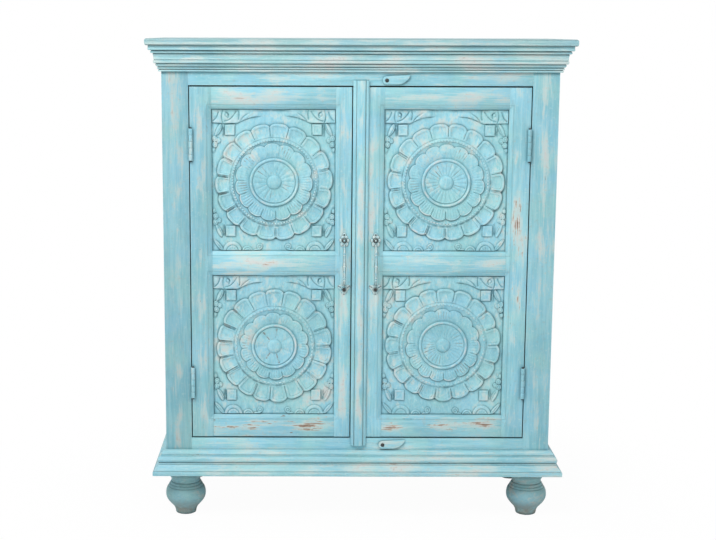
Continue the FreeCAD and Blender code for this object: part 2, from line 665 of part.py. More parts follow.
# Frame and panels of one door, between its hinge edge and its meeting edge
def build_door(side, hinge_x, meeting_x, panel_hinge_x, panel_meeting_x, cuts, pull_cuts):
    x0 = min(panel_hinge_x, panel_meeting_x)
    x1 = max(panel_hinge_x, panel_meeting_x)
    upper_board, upper_panel = carved_panel(x0, x1, UPPER_PANEL_Z, UPPER_PANEL_TOP_Z)
    lower_board, lower_panel = carved_panel(x0, x1, LOWER_PANEL_Z, LOWER_PANEL_TOP_Z)
    bevels = [
        bevel_cutter(x0, x1, UPPER_PANEL_Z, UPPER_PANEL_TOP_Z),
        bevel_cutter(x0, x1, LOWER_PANEL_Z, LOWER_PANEL_TOP_Z),
    ]
    cutters = bevels + [upper_board, lower_board]
    rails = {
        "top": door_rail(x0, x1, UPPER_PANEL_TOP_Z, DOOR_TOP_Z).cut(cutters),
        "mid": door_rail(x0, x1, LOWER_PANEL_TOP_Z, UPPER_PANEL_Z).cut(cutters),
        "bottom": door_rail(x0, x1, DOOR_Z, LOWER_PANEL_Z).cut(cutters),
    }
    joints = cutters + list(rails.values())
    hinge_stile = box(min(hinge_x, panel_hinge_x), FRONT_Y, DOOR_Z,
                      max(hinge_x, panel_hinge_x), DOOR_BACK_Y, DOOR_TOP_Z)
    meeting_stile = box(min(meeting_x, panel_meeting_x), FRONT_Y, DOOR_Z,
                        max(meeting_x, panel_meeting_x), DOOR_BACK_Y, DOOR_TOP_Z)
    save(side + "_hinge_stile", hinge_stile.cut(joints + cuts))
    save(side + "_meeting_stile", meeting_stile.cut(joints + pull_cuts))
    for place, rail in rails.items():
        save(side + "_" + place + "_rail", rail)
    save(side + "_upper_panel", upper_panel)
    save(side + "_lower_panel", lower_panel)


# Moulded strip that rides on the right door and covers the meeting line
def cover_strip():
    right_x = STRIP_X + STRIP_WIDTH
    face_y = FRONT_Y - STRIP_THICKNESS
    rib_x0 = STRIP_X + (STRIP_WIDTH - STRIP_RIB_WIDTH) / 2
    rib_x1 = rib_x0 + STRIP_RIB_WIDTH
    rib_y = face_y - STRIP_RIB_HEIGHT
    low = DOOR_Z - STRIP_BELOW_DOOR
    high = DOOR_TOP_Z + STRIP_ABOVE_DOOR
    half = STRIP_THICKNESS / 2
    quarter = STRIP_RIB_HEIGHT / 2
    start = V(STRIP_X, FRONT_Y, low)
    edges = [
        Part.makeLine(start, V(STRIP_X, face_y + half, low)),
        Part.makeLine(V(STRIP_X, face_y + half, low), V(STRIP_X + half, face_y, low)),
        Part.makeLine(V(STRIP_X + half, face_y, low), V(rib_x0, face_y, low)),
        Part.makeLine(V(rib_x0, face_y, low), V(rib_x0, rib_y + quarter, low)),
        Part.Arc(V(rib_x0, rib_y + quarter, low), V((rib_x0 + rib_x1) / 2, rib_y, low),
                 V(rib_x1, rib_y + quarter, low)).toShape(),
        Part.makeLine(V(rib_x1, rib_y + quarter, low), V(rib_x1, face_y, low)),
        Part.makeLine(V(rib_x1, face_y, low), V(right_x - half, face_y, low)),
        Part.makeLine(V(right_x - half, face_y, low), V(right_x, face_y + half, low)),
        Part.makeLine(V(right_x, face_y + half, low), V(right_x, FRONT_Y, low)),
        Part.makeLine(V(right_x, FRONT_Y, low), start),
    ]
    strip = Part.Face(Part.Wire(edges)).extrude(V(0, 0, high - low))
    reliefs = [
        box(STRIP_X, FRONT_Y - STRIP_RELIEF, low, right_x, FRONT_Y, DOOR_Z),
        box(STRIP_X, FRONT_Y - STRIP_RELIEF, DOOR_TOP_Z, right_x, FRONT_Y, high),
    ]
    return strip.cut(reliefs)


# Rosette plate at one end of a pull, its lobes spreading away from the bar
def rosette(x, z, way):
    back = FRONT_Y
    front = back - PULL_PLATE_THICKNESS
    lobes = []
    for across, outwards in LOBE_SHARES:
        centre = V(x + across * PULL_LOBE_RADIUS, front, z + way * outwards * PULL_LOBE_RADIUS)
        lobes.append(Part.makeCylinder(PULL_LOBE_RADIUS, PULL_PLATE_THICKNESS, centre, V(0, 1, 0)))
    return lobes


# Screws that hold one pull
def pull_screws(x):
    screws = []
    for way in (-1, 1):
        z = PULL_Z + way * PULL_SCREW_SPACING / 2
        face = FRONT_Y - PULL_PLATE_THICKNESS
        head = Part.makeCylinder(PULL_SCREW_HEAD_RADIUS, PULL_SCREW_HEAD_HEIGHT,
                                 V(x, face - PULL_SCREW_HEAD_HEIGHT, z), V(0, 1, 0))
        shank = Part.makeCylinder(PULL_SCREW_RADIUS, PULL_SCREW_LENGTH, V(x, face, z), V(0, 1, 0))
        screws.append(joined(head, shank))
    return screws


# Pull: two rosettes and a swelling bar that bends back into them
def pull(x, screws):
    half = PULL_BAR_SPACING / 2
    bar_y = FRONT_Y - PULL_STANDOFF
    straight = half - PULL_BEND_RADIUS
    section = [
        Part.makeLine(V(0, 0, -straight), V(PULL_BAR_RADIUS, 0, -straight)),
        Part.Arc(V(PULL_BAR_RADIUS, 0, -straight), V(PULL_BAR_RADIUS + PULL_BAR_SWELL, 0, 0),
                 V(PULL_BAR_RADIUS, 0, straight)).toShape(),
        Part.makeLine(V(PULL_BAR_RADIUS, 0, straight), V(0, 0, straight)),
        Part.makeLine(V(0, 0, straight), V(0, 0, -straight)),
    ]
    bar = Part.Face(Part.Wire(section)).revolve(V(0, 0, 0), V(0, 0, 1), 360)
    bar.translate(V(x, bar_y, PULL_Z))
    pieces = []
    for way in (-1, 1):
        end = PULL_Z + way * straight
        section = Part.Face(Part.Wire(Part.makeCircle(PULL_BAR_RADIUS, V(x, bar_y, end), V(0, 0, 1))))
        bend = section.revolve(V(x, bar_y + PULL_BEND_RADIUS, end), V(way, 0, 0), -90)
        neck_y = bar_y + PULL_BEND_RADIUS
        neck = Part.makeCylinder(PULL_BAR_RADIUS, FRONT_Y - neck_y, V(x, neck_y, PULL_Z + way * half),
                                 V(0, 1, 0))
        pieces.extend([bend, neck])
        pieces.extend(rosette(x, PULL_Z + way * PULL_SCREW_SPACING / 2, way))
    return joined(bar, pieces).cut(screws)


# Latch lever lying to the right, its straight edge upwards
def latch_lever(z):
    front = FRONT_Y - LATCH_COLLAR_THICKNESS - LATCH_CLEARANCE - LATCH_THICKNESS

    def place(along, up):
        return V(LATCH_AT + along * LATCH_LENGTH, front, z + up * LATCH_LENGTH)

    head = LATCH_HEAD_RADIUS / LATCH_LENGTH
    steps = LEVER_SHARES + (("line", 0, -head), ("arc", -head, 0, 0, head))
    edges, end = walk((0, head), steps, place)
    lever = Part.Face(Part.Wire(edges)).extrude(V(0, LATCH_THICKNESS, 0))
    front_edges = [edge for edge in lever.Edges if edge.BoundBox.YMax < front + LATCH_THICKNESS / 2]
    lever = lever.makeFillet(LATCH_EDGE_ROUNDING, front_edges)
    hole = Part.makeCylinder(LATCH_SCREW_RADIUS + LATCH_SCREW_CLEARANCE, LATCH_THICKNESS,
                             V(LATCH_AT, front, z), V(0, 1, 0))
    return lever.cut(hole)


# Screw of one latch with its collar behind the lever and its head before it
def latch_screw(z):
    gap = LATCH_CLEARANCE
    head_y = FRONT_Y - LATCH_COLLAR_THICKNESS - gap - LATCH_THICKNESS - gap
    toward = V(0, 1, 0)
    shank = Part.makeCylinder(LATCH_SCREW_RADIUS, FRONT_Y - head_y + LATCH_SCREW_DEPTH,
                              V(LATCH_AT, head_y, z), toward)
    collar = Part.makeCylinder(LATCH_COLLAR_RADIUS, LATCH_COLLAR_THICKNESS,
                               V(LATCH_AT, FRONT_Y - LATCH_COLLAR_THICKNESS, z), toward)
    head = Part.makeCone(LATCH_SCREW_HEAD_RADIUS / 2, LATCH_SCREW_HEAD_RADIUS, LATCH_SCREW_HEAD_HEIGHT,
                         V(LATCH_AT, head_y - LATCH_SCREW_HEAD_HEIGHT, z), toward)
    return joined(shank, [collar, head])


os.makedirs("parts", exist_ok=True)
turn_screws = [latch_screw(LATCH_UPPER_Z), latch_screw(LATCH_LOWER_Z)]
post = build_case(turn_screws)
build_mouldings()
build_feet()
hinge_cuts = build_hinges(post)
left_screws = pull_screws(-PULL_LEFT_AT)
right_screws = pull_screws(PULL_RIGHT_AT)
build_door("left", -DOOR_OUTER_X, LEFT_DOOR_END_X, -PANEL_OUTER_X, -PANEL_NEAR_CENTRE,
           [mirrored(cut) for cut in hinge_cuts], left_screws)
build_door("right", DOOR_OUTER_X, RIGHT_DOOR_START_X, PANEL_OUTER_X, PANEL_NEAR_CENTRE,
           hinge_cuts, right_screws)
save("cover_strip", cover_strip())
save("left_pull", pull(-PULL_LEFT_AT, left_screws))
save("right_pull", pull(PULL_RIGHT_AT, right_screws))
save("left_pull_screws", group(left_screws))
save("right_pull_screws", group(right_screws))
save("upper_latch", latch_lever(LATCH_UPPER_Z))
save("lower_latch", latch_lever(LATCH_LOWER_Z))
save("latch_screws", group(turn_screws))
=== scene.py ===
# Looks of the low cabinet: carved panelled doors in a moulded case, in worn turquoise paint.
# Every length is in metres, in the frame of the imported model. Run as a script in Blender 4.5.
import math

import bmesh
import bpy
import numpy as np
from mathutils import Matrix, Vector


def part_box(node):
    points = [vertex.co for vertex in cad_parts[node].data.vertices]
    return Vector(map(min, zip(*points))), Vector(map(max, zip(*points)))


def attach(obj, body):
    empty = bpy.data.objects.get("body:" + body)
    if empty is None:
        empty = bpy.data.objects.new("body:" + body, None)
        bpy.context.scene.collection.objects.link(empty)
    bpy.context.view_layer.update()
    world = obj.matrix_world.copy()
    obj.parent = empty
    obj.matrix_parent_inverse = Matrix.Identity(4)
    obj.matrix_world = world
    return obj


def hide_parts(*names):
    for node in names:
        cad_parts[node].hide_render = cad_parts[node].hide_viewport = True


bl_info = {
    "name": "Low Cabinet",
    "version": (1, 0, 0),
    "blender": (4, 5, 0),
    "location": "View3D > Sidebar > Cabinet",
    "description": "Dresses the packed low cabinet: carving, mouldings, feet, ironwork and paint",
    "category": "Object",
}

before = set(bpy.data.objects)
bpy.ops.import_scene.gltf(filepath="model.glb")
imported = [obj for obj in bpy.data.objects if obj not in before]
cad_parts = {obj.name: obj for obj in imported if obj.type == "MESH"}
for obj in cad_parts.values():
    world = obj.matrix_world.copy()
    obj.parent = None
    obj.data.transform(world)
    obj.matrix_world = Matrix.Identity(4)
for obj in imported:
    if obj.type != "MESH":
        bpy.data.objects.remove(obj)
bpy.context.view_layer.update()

MM = 0.001

# How near points lie that are merged: in swept and carved forms, in spun ones and in CAD ones,
# and how near a spun form's points lie to its axis
WELD = 0.000002
SPIN_WELD = 0.00001
CAD_WELD = 0.00002
ON_AXIS = 0.0001

# Depths of the panels' and doors' faces and of the boards' backs, half a panel's width, the
# tongue that holds it and the bevel round it
PANEL_FACE = -0.168
DOOR_FACE = -0.178
PANEL_HALF_WIDTH = 0.14675
TONGUE = 0.008
BEVEL_WIDTH = 0.0105
BOARD_BACK = -0.156

# Each panel: its CAD node and body, its middle across and up, half its height, where its
# rosette sits from that middle, and how its carver laid it out
PANELS = {
    "left_upper": dict(body="left_door", x=-0.20425, z=0.836, half=0.169, dx=0.0010, dz=-0.0036,
                       outer=18, outer_turn=-3.1, outer_sway=(-1.7, 0), inner=15, inner_turn=-3.0,
                       inner_tip=0.0930, beads=92, bead_ring=0.0998, flutes=20, flute_depth=0.8,
                       ring=0.0545, tone=1.02, seed=11),
    "right_upper": dict(body="right_door", x=0.20425, z=0.836, half=0.169, dx=0.0012, dz=-0.0038,
                        outer=18, outer_turn=0.9, outer_sway=(1.2, 290), inner=15, inner_turn=0.5,
                        inner_tip=0.0920, beads=84, bead_ring=0.1000, flutes=24, flute_depth=0.8,
                        ring=0.0545, tone=1.055, seed=23),
    "left_lower": dict(body="left_door", x=-0.20425, z=0.4355, half=0.172, dx=0.0015, dz=-0.0016,
                       outer=19, outer_turn=2.7, outer_sway=(3.0, 150), inner=14, inner_turn=9.5,
                       inner_tip=0.0838, beads=64, bead_ring=0.0925, flutes=7, flute_depth=1.5,
                       ring=0.0515, tone=0.99, seed=37),
    "right_lower": dict(body="right_door", x=0.20425, z=0.4355, half=0.172, dx=0.0010, dz=0.0018,
                        outer=19, outer_turn=4.7, outer_sway=(2.9, 170), inner=15, inner_turn=-2.5,
                        inner_tip=0.0905, beads=72, bead_ring=0.1000, flutes=30, flute_depth=0.6,
                        ring=0.0555, tone=1.015, seed=53),
}


# Settings that a user may change

class CabinetPaint(bpy.types.PropertyGroup):
    sky: bpy.props.FloatVectorProperty(
        name="Turquoise", description="Main coat of paint", subtype="COLOR", size=3,
        min=0, max=1, default=(0.300, 0.610, 0.690))
    deep: bpy.props.FloatVectorProperty(
        name="Deep turquoise", description="Paint where it lies thick", subtype="COLOR", size=3,
        min=0, max=1, default=(0.205, 0.490, 0.575))
    wash: bpy.props.FloatVectorProperty(
        name="Pale undercoat", description="Chalky undercoat where the coat is rubbed thin",
        subtype="COLOR", size=3, min=0, max=1, default=(0.515, 0.635, 0.618))
    blush: bpy.props.FloatVectorProperty(
        name="Pinkish undercoat", description="Warm undercoat in the deeper rubs",
        subtype="COLOR", size=3, min=0, max=1, default=(0.605, 0.565, 0.545))
    tan: bpy.props.FloatVectorProperty(
        name="Tan wood", description="Wood that starts to show in the deepest rubs",
        subtype="COLOR", size=3, min=0, max=1, default=(0.500, 0.365, 0.270))
    wood: bpy.props.FloatVectorProperty(
        name="Dark wood", description="Wood in cracks and chips", subtype="COLOR", size=3,
        min=0, max=1, default=(0.220, 0.148, 0.105))
    # Colour of the painted shade, with some grime, in recesses, gaps, cuts and hollows
    shade_and_grime: bpy.props.FloatVectorProperty(
        name="Grime", description="Tint of the recesses", subtype="COLOR", size=3,
        min=0, max=1, default=(0.300, 0.400, 0.420))


class CabinetCarving(bpy.types.PropertyGroup):
    outer_tip: bpy.props.FloatProperty(
        name="Rosette radius", description="From the middle to the outer petals' tips",
        subtype="DISTANCE", unit="LENGTH", default=0.1405, min=0.12, max=0.142)
    outer_height: bpy.props.FloatProperty(
        name="Outer petal height", description="How far the outer petals stand off the board",
        subtype="DISTANCE", unit="LENGTH", default=0.0052, min=0.002, max=0.007)
    inner_height: bpy.props.FloatProperty(
        name="Inner petal height", description="How far the inner petals stand off the board",
        subtype="DISTANCE", unit="LENGTH", default=0.0072, min=0.004, max=0.0085)
    spray_height: bpy.props.FloatProperty(
        name="Corner spray height", description="How far the corner leaves stand off the board",
        subtype="DISTANCE", unit="LENGTH", default=0.0036, min=0.001, max=0.006)


class CabinetStage(bpy.types.PropertyGroup):
    lens: bpy.props.FloatProperty(
        name="Lens", description="Focal length for a 36 mm sensor", unit="CAMERA",
        default=70.39, min=20, max=200)
    key_power: bpy.props.FloatProperty(
        name="Key light", description="Power of the large soft light above the front",
        unit="POWER", default=81.0, min=0, max=500)
    side_power: bpy.props.FloatProperty(
        name="Side lights", description="Power of each soft light at the side",
        unit="POWER", default=10.0, min=0, max=500)
    room: bpy.props.FloatProperty(
        name="Room light", description="Strength of the even light from all round",
        default=0.48, min=0, max=3)


# Small helpers

def smooth(low, high, value):
    t = np.clip((value - low) / (high - low), 0.0, 1.0)
    return t * t * (3.0 - 2.0 * t)


def deselect():
    if bpy.context.object and bpy.context.object.mode != "OBJECT":
        bpy.ops.object.mode_set(mode="OBJECT")
    for thing in list(bpy.context.selected_objects):
        thing.select_set(False)


def choose(piece):
    deselect()
    piece.select_set(True)
    bpy.context.view_layer.objects.active = piece


def primitive(kind, name, **where):
    deselect()
    getattr(bpy.ops.mesh, "primitive_" + kind + "_add")(**where)
    piece = bpy.context.object
    piece.name = name
    piece.data.name = name
    return piece


def settle(piece):
    choose(piece)
    bpy.ops.object.transform_apply(location=True, rotation=True, scale=True)


def tidy(piece):
    choose(piece)
    bpy.ops.object.mode_set(mode="EDIT")
    bpy.ops.mesh.select_all(action="SELECT")
    bpy.ops.mesh.remove_doubles(threshold=2 * WELD)
    bpy.ops.mesh.normals_make_consistent(inside=False)
    bpy.ops.object.mode_set(mode="OBJECT")


def shade(piece, angle):
    choose(piece)
    bpy.ops.object.shade_smooth_by_angle(angle=math.radians(angle))


# Closes a swept form: welds its seam, caps its ends, turns its faces outwards and shades it
def close_sweep(piece, angle):
    choose(piece)
    bpy.ops.object.mode_set(mode="EDIT")
    bpy.ops.mesh.select_all(action="SELECT")
    bpy.ops.mesh.remove_doubles(threshold=WELD)
    bpy.ops.mesh.select_mode(type="EDGE")
    bpy.ops.mesh.select_all(action="DESELECT")
    bpy.ops.mesh.select_non_manifold(extend=False)
    bpy.ops.mesh.fill()
    bpy.ops.mesh.select_all(action="SELECT")
    bpy.ops.mesh.normals_make_consistent(inside=False)
    bpy.ops.object.mode_set(mode="OBJECT")
    shade(piece, angle)


def modify(piece, kind, **values):
    choose(piece)
    modifier = piece.modifiers.new(kind.title(), kind)
    for key, value in values.items():
        setattr(modifier, key, value)
    bpy.ops.object.modifier_apply(modifier=modifier.name)


def finish(piece, body, slot, material, *nodes):
    piece.data.materials.clear()
    piece.data.materials.append(material)
    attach(piece, body)
    if nodes:
        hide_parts(*nodes)
    return piece


def point_values(piece, name, values):
    layer = piece.data.attributes.new(name, "FLOAT", "POINT")
    layer.data.foreach_set("value", np.ascontiguousarray(values, dtype=np.float32).ravel())


# A seeded, smooth wobble over a plane, for the carver's uneven hand
def wobble(x, z, scale, seed):
    rng = np.random.default_rng(seed)
    total = np.zeros_like(x)
    for _ in range(7):
        way = rng.uniform(0, 2 * math.pi)
        speed = rng.uniform(0.6, 1.7) * 2 * math.pi / scale
        total += np.sin((x * math.cos(way) + z * math.sin(way)) * speed + rng.uniform(0, 6.3))
    return total / 7


# Materials

class Nodes:
    def __init__(self, name):
        self.material = bpy.data.materials.new(name)
        self.material.use_nodes = True
        self.tree = self.material.node_tree
        self.surface = self.tree.nodes["Principled BSDF"]

    def add(self, kind, inputs=(), **settings):
        node = self.tree.nodes.new("ShaderNode" + kind)
        for key, value in settings.items():
            setattr(node, key, value)
        for key, value in dict(inputs).items():
            self.set(node, key, value)
        return node

    def set(self, node, key, value):
        if isinstance(value, bpy.types.NodeSocket):
            self.tree.links.new(value, node.inputs[key])
        else:
            node.inputs[key].default_value = value

    def math(self, operation, first, second=0.0):
        node = self.add("Math", operation=operation)
        self.set(node, 0, first)
        self.set(node, 1, second)
        return node.outputs[0]

    def total(self, first, *others):
        for other in others:
            first = self.math("ADD", first, other)
        return first

    # How far a value lies from a middle one
    def distance(self, value, middle):
        return self.math("ABSOLUTE", self.math("SUBTRACT", value, middle))

    # A noise made to swing about nothing, by an amount
    def swing(self, value, amount):
        return self.math("MULTIPLY", self.math("SUBTRACT", value, 0.5), amount)

    # One axis of the object's own coordinate, or of its own normal
    def axis(self, number, of="Object"):
        coordinate = self.add("TexCoord").outputs[of]
        return self.add("SeparateXYZ", {"Vector": coordinate}).outputs[number]

    def marks(self, name):
        return self.add("Attribute", attribute_name=name).outputs["Fac"]

    # Ambient occlusion: how hidden a point is, from which the paints paint shade into recesses
    def shelter(self, distance):
        return self.add("AmbientOcclusion", {"Distance": distance}, samples=6).outputs["AO"]

    def ramp(self, value, low, high, to_low=0.0, to_high=1.0):
        node = self.add("MapRange", {"Value": value, "From Min": low, "From Max": high,
                                     "To Min": to_low, "To Max": to_high},
                        interpolation_type="SMOOTHSTEP")
        return node.outputs["Result"]

    def mix(self, factor, first, second, blend="MIX"):
        node = self.add("Mix", data_type="RGBA", blend_type=blend)
        self.set(node, 0, factor)
        self.set(node, 6, first)
        self.set(node, 7, second)
        return node.outputs[2]

    def place(self, stretch, shift):
        coordinate = self.add("TexCoord")
        mapping = self.add("Mapping", {"Vector": coordinate.outputs["Object"],
                                       "Location": shift, "Scale": stretch})
        return mapping.outputs["Vector"]

    def noise(self, where, scale, detail=3.0, rough=0.55, twist=0.0):
        node = self.add("TexNoise", {"Vector": where, "Scale": scale, "Detail": detail,
                                     "Roughness": rough, "Distortion": twist})
        return node.outputs["Fac"]

    def bump(self, parts):
        normal = None
        for height, strength, distance in parts:
            node = self.add("Bump", {"Height": height, "Strength": strength, "Distance": distance})
            if normal:
                self.tree.links.new(normal, node.inputs["Normal"])
            normal = node.outputs["Normal"]
        self.tree.links.new(normal, self.surface.inputs["Normal"])


def colour(rgb, gain=1.0):
    return tuple(channel * gain for channel in rgb) + (1.0,)


EVEN = (1.0, 1.0, 1.0)

# Stretch of the fine streaks and of the broad rubs, by the way that the grain runs
GRAIN = {
    "up": ((1.0, 1.0, 0.07), (1.0, 1.0, 0.30)),
    "across": ((0.07, 1.0, 1.0), (0.26, 1.0, 1.0)),
    "deep": ((1.0, 0.07, 1.0), (1.0, 0.26, 1.0)),
    "turned": ((1.0, 1.0, 2.5), (1.0, 1.0, 1.5)),
    "carved": ((1.0, 1.0, 0.45), (1.0, 1.0, 0.80)),
}


# Tints of the coat, its spots, a foot's lower part and the carving's stains that no setting holds
GREENER_COAT = (0.310, 0.600, 0.585)
BLUER_COAT = (0.250, 0.550, 0.715)
GREYED_COAT = (0.360, 0.500, 0.480)
GREY_SPOTS = (0.330, 0.385, 0.370)
FOOT_LOW_TINT = (0.235, 0.245, 0.215)
CARVING_STAIN = (0.235, 0.175, 0.140)

# Heights of the painted shade lines at the steps turned round a foot, and how dark each is
FOOT_SHADE_LINES = ((0.0692, 0.28), (0.0755, 0.25), (0.0820, 0.60), (0.0980, 0.20))


# The coat before any wear: deep and light in clouds, greener or bluer in places
def whole_coat(n, paint, medium, cloud, whole, tone, dull):
    depth = n.math("ADD", n.math("MULTIPLY", medium, 0.5), n.math("MULTIPLY", cloud, 0.5))
    base = n.mix(n.ramp(depth, 0.38, 0.60), colour(paint.deep, tone), colour(paint.sky, tone))
    hue = n.noise(whole, 11.0, 2.0, 0.5)
    base = n.mix(n.ramp(hue, 0.50, 0.64, 0.0, 0.45), base, colour(GREENER_COAT, tone))
    base = n.mix(n.ramp(hue, 0.50, 0.36, 0.0, 0.40), base, colour(BLUER_COAT, tone))
    return n.mix(dull, base, colour(GREYED_COAT, tone))


# How much the coat is rubbed: most along a member's middle, least on a carved board's back
def rubbed_field(n, fine, medium, broad, cloud, mottle, band, carved):
    rubbed = n.total(n.math("MULTIPLY", broad, 0.58), n.math("MULTIPLY", medium, 0.24),
                     n.math("MULTIPLY", fine, 0.18), n.swing(cloud, 0.40), n.swing(mottle, 0.22))
    if carved:
        behind = n.axis(1, of="Normal")
        rubbed = n.math("ADD", rubbed, n.ramp(behind, 0.3, 0.7, 0.0, -0.09))
    for axis, middle, half, start, up, down in band:
        away = n.distance(n.axis(axis), middle)
        rubbed = n.math("ADD", rubbed, n.ramp(away, half * start, half * 0.97, up, down))
    return rubbed


# Undercoats, bare wood and nicks, where the coat is rubbed thin
def worn_through(n, paint, base, rubbed, fine, nick, rub, chips, tone):
    thin = 0.605 - 0.12 * rub
    base = n.mix(n.ramp(rubbed, thin - 0.05, thin + 0.09, 0.0, 0.85), base,
                 colour(paint.wash, tone))
    base = n.mix(n.ramp(rubbed, thin + 0.055, thin + 0.155, 0.0, 0.68), base,
                 colour(paint.blush, tone))
    base = n.mix(n.ramp(fine, 0.36, 0.72, 0.0, 0.30), base, colour(paint.wash, tone * 1.03))
    deepest = n.math("ADD", rubbed, n.swing(fine, 0.55))
    bare = 0.870 - 0.12 * chips - 0.06 * rub
    base = n.mix(n.ramp(deepest, bare - 0.035, bare, 0.0, 0.75), base, colour(paint.tan, tone))
    base = n.mix(n.ramp(deepest, bare + 0.01, bare + 0.04, 0.0, 0.85), base,
                 colour(paint.wood, tone))
    return n.mix(n.math("MULTIPLY", nick, 0.8), base, colour(paint.wood, tone))


# A foot darker towards its bottom, and painted shade lines at the steps turned round it
def foot_marks(n, paint, base, ragged):
    height = n.axis(2)
    lower_darkening = n.math("MULTIPLY", n.ramp(height, 0.052, 0.010, 0.0, 0.90),
                  n.ramp(ragged, 0.30, 0.60, 0.3, 1.0))
    base = n.mix(lower_darkening, base, colour(FOOT_LOW_TINT))
    # Painted shade lines at the turned steps, broken in places
    for level, dark in FOOT_SHADE_LINES:
        line = n.ramp(n.distance(height, level), 0.0004, 0.0014, dark, 0.0)
        line = n.math("MULTIPLY", line, n.ramp(ragged, 0.30, 0.55, 0.4, 1.0))
        base = n.mix(line, base, colour(paint.shade_and_grime, 0.22))
    return base


# Fine lines cut along rectangles, each by its middle and half sizes across and up. The
# paint darkens them with painted shade
def shaded_cuts_along(n, rectangles):
    shaded_cut = None
    for x, z, half_x, half_z in rectangles:
        beyond_x = n.math("SUBTRACT", n.distance(n.axis(0), x), half_x)
        beyond_z = n.math("SUBTRACT", n.distance(n.axis(2), z), half_z)
        away = n.math("ABSOLUTE", n.math("MAXIMUM", beyond_x, beyond_z))
        line = n.ramp(away, 0.0003, 0.0011, 1.0, 0.0)
        shaded_cut = n.math("MAXIMUM", shaded_cut, line) if shaded_cut else line
    return shaded_cut


# Pale crests, which are rubbed paint and partly a painted highlight, brown stains in the cuts,
# and painted shade with some soot in the hollows of a carved piece
def carved_marks(n, paint, base, plain, ragged):
    broken = n.ramp(n.noise(plain, 45.0, 4.0, 0.65), 0.42, 0.60)
    warm = n.mix(n.ramp(n.noise(plain, 14.0, 2.0), 0.42, 0.58), colour(paint.wash, 1.25),
                 colour(paint.blush, 1.15))
    # Pale crests: rubbed paint, and a painted highlight on the rims that face the light
    crest = n.math("MULTIPLY", n.marks("crest"), n.math("MULTIPLY", broken, 0.85))
    base = n.mix(crest, base, warm)
    torn = n.ramp(n.noise(plain, 60.0, 4.0, 0.65), 0.34, 0.56)
    stain = n.ramp(n.math("MULTIPLY", n.marks("mark"), torn), 0.18, 0.50)
    base = n.mix(n.math("MULTIPLY", stain, 0.75), base, colour(CARVING_STAIN))
    peak = n.ramp(n.add("NewGeometry").outputs["Pointiness"], 0.512, 0.58, 0.0, 0.60)
    base = n.mix(n.math("MULTIPLY", peak, n.ramp(ragged, 0.40, 0.62)), base,
                 colour(paint.wash, 1.1))
    # Painted shade in the hollows and cuts, with some soot, broken in places
    soot = n.math("MULTIPLY", n.marks("soot"),
                  n.ramp(n.noise(plain, 30.0, 3.0, 0.6), 0.35, 0.60, 0.30, 0.92))
    return n.mix(soot, base, n.mix(0.80, base, colour(paint.shade_and_grime, 0.62), "MULTIPLY"))


# Pale and brown wear along sharp edges, found where a rounded edge would face another way
def worn_edges(n, paint, base, ragged, edge):
    rounded = n.add("Bevel", {"Radius": 0.0030}, samples=4)
    turn = n.add("VectorMath", operation="DOT_PRODUCT")
    n.set(turn, 0, rounded.outputs["Normal"])
    n.set(turn, 1, n.add("NewGeometry").outputs["Normal"])
    sharp = n.math("SUBTRACT", 1.0, turn.outputs["Value"])
    pale = n.math("MULTIPLY", n.ramp(sharp, 0.01, 0.16),
                  n.ramp(ragged, 0.60 - 0.28 * edge, 0.70 - 0.20 * edge))
    base = n.mix(n.math("MULTIPLY", pale, 0.45), base, colour(paint.wash, 1.08))
    brown = n.math("MULTIPLY", n.ramp(sharp, 0.05, 0.22),
                   n.ramp(ragged, 0.70 - 0.12 * edge, 0.76 - 0.12 * edge))
    return n.mix(n.math("MULTIPLY", brown, 0.8), base, colour(paint.tan, 0.8))
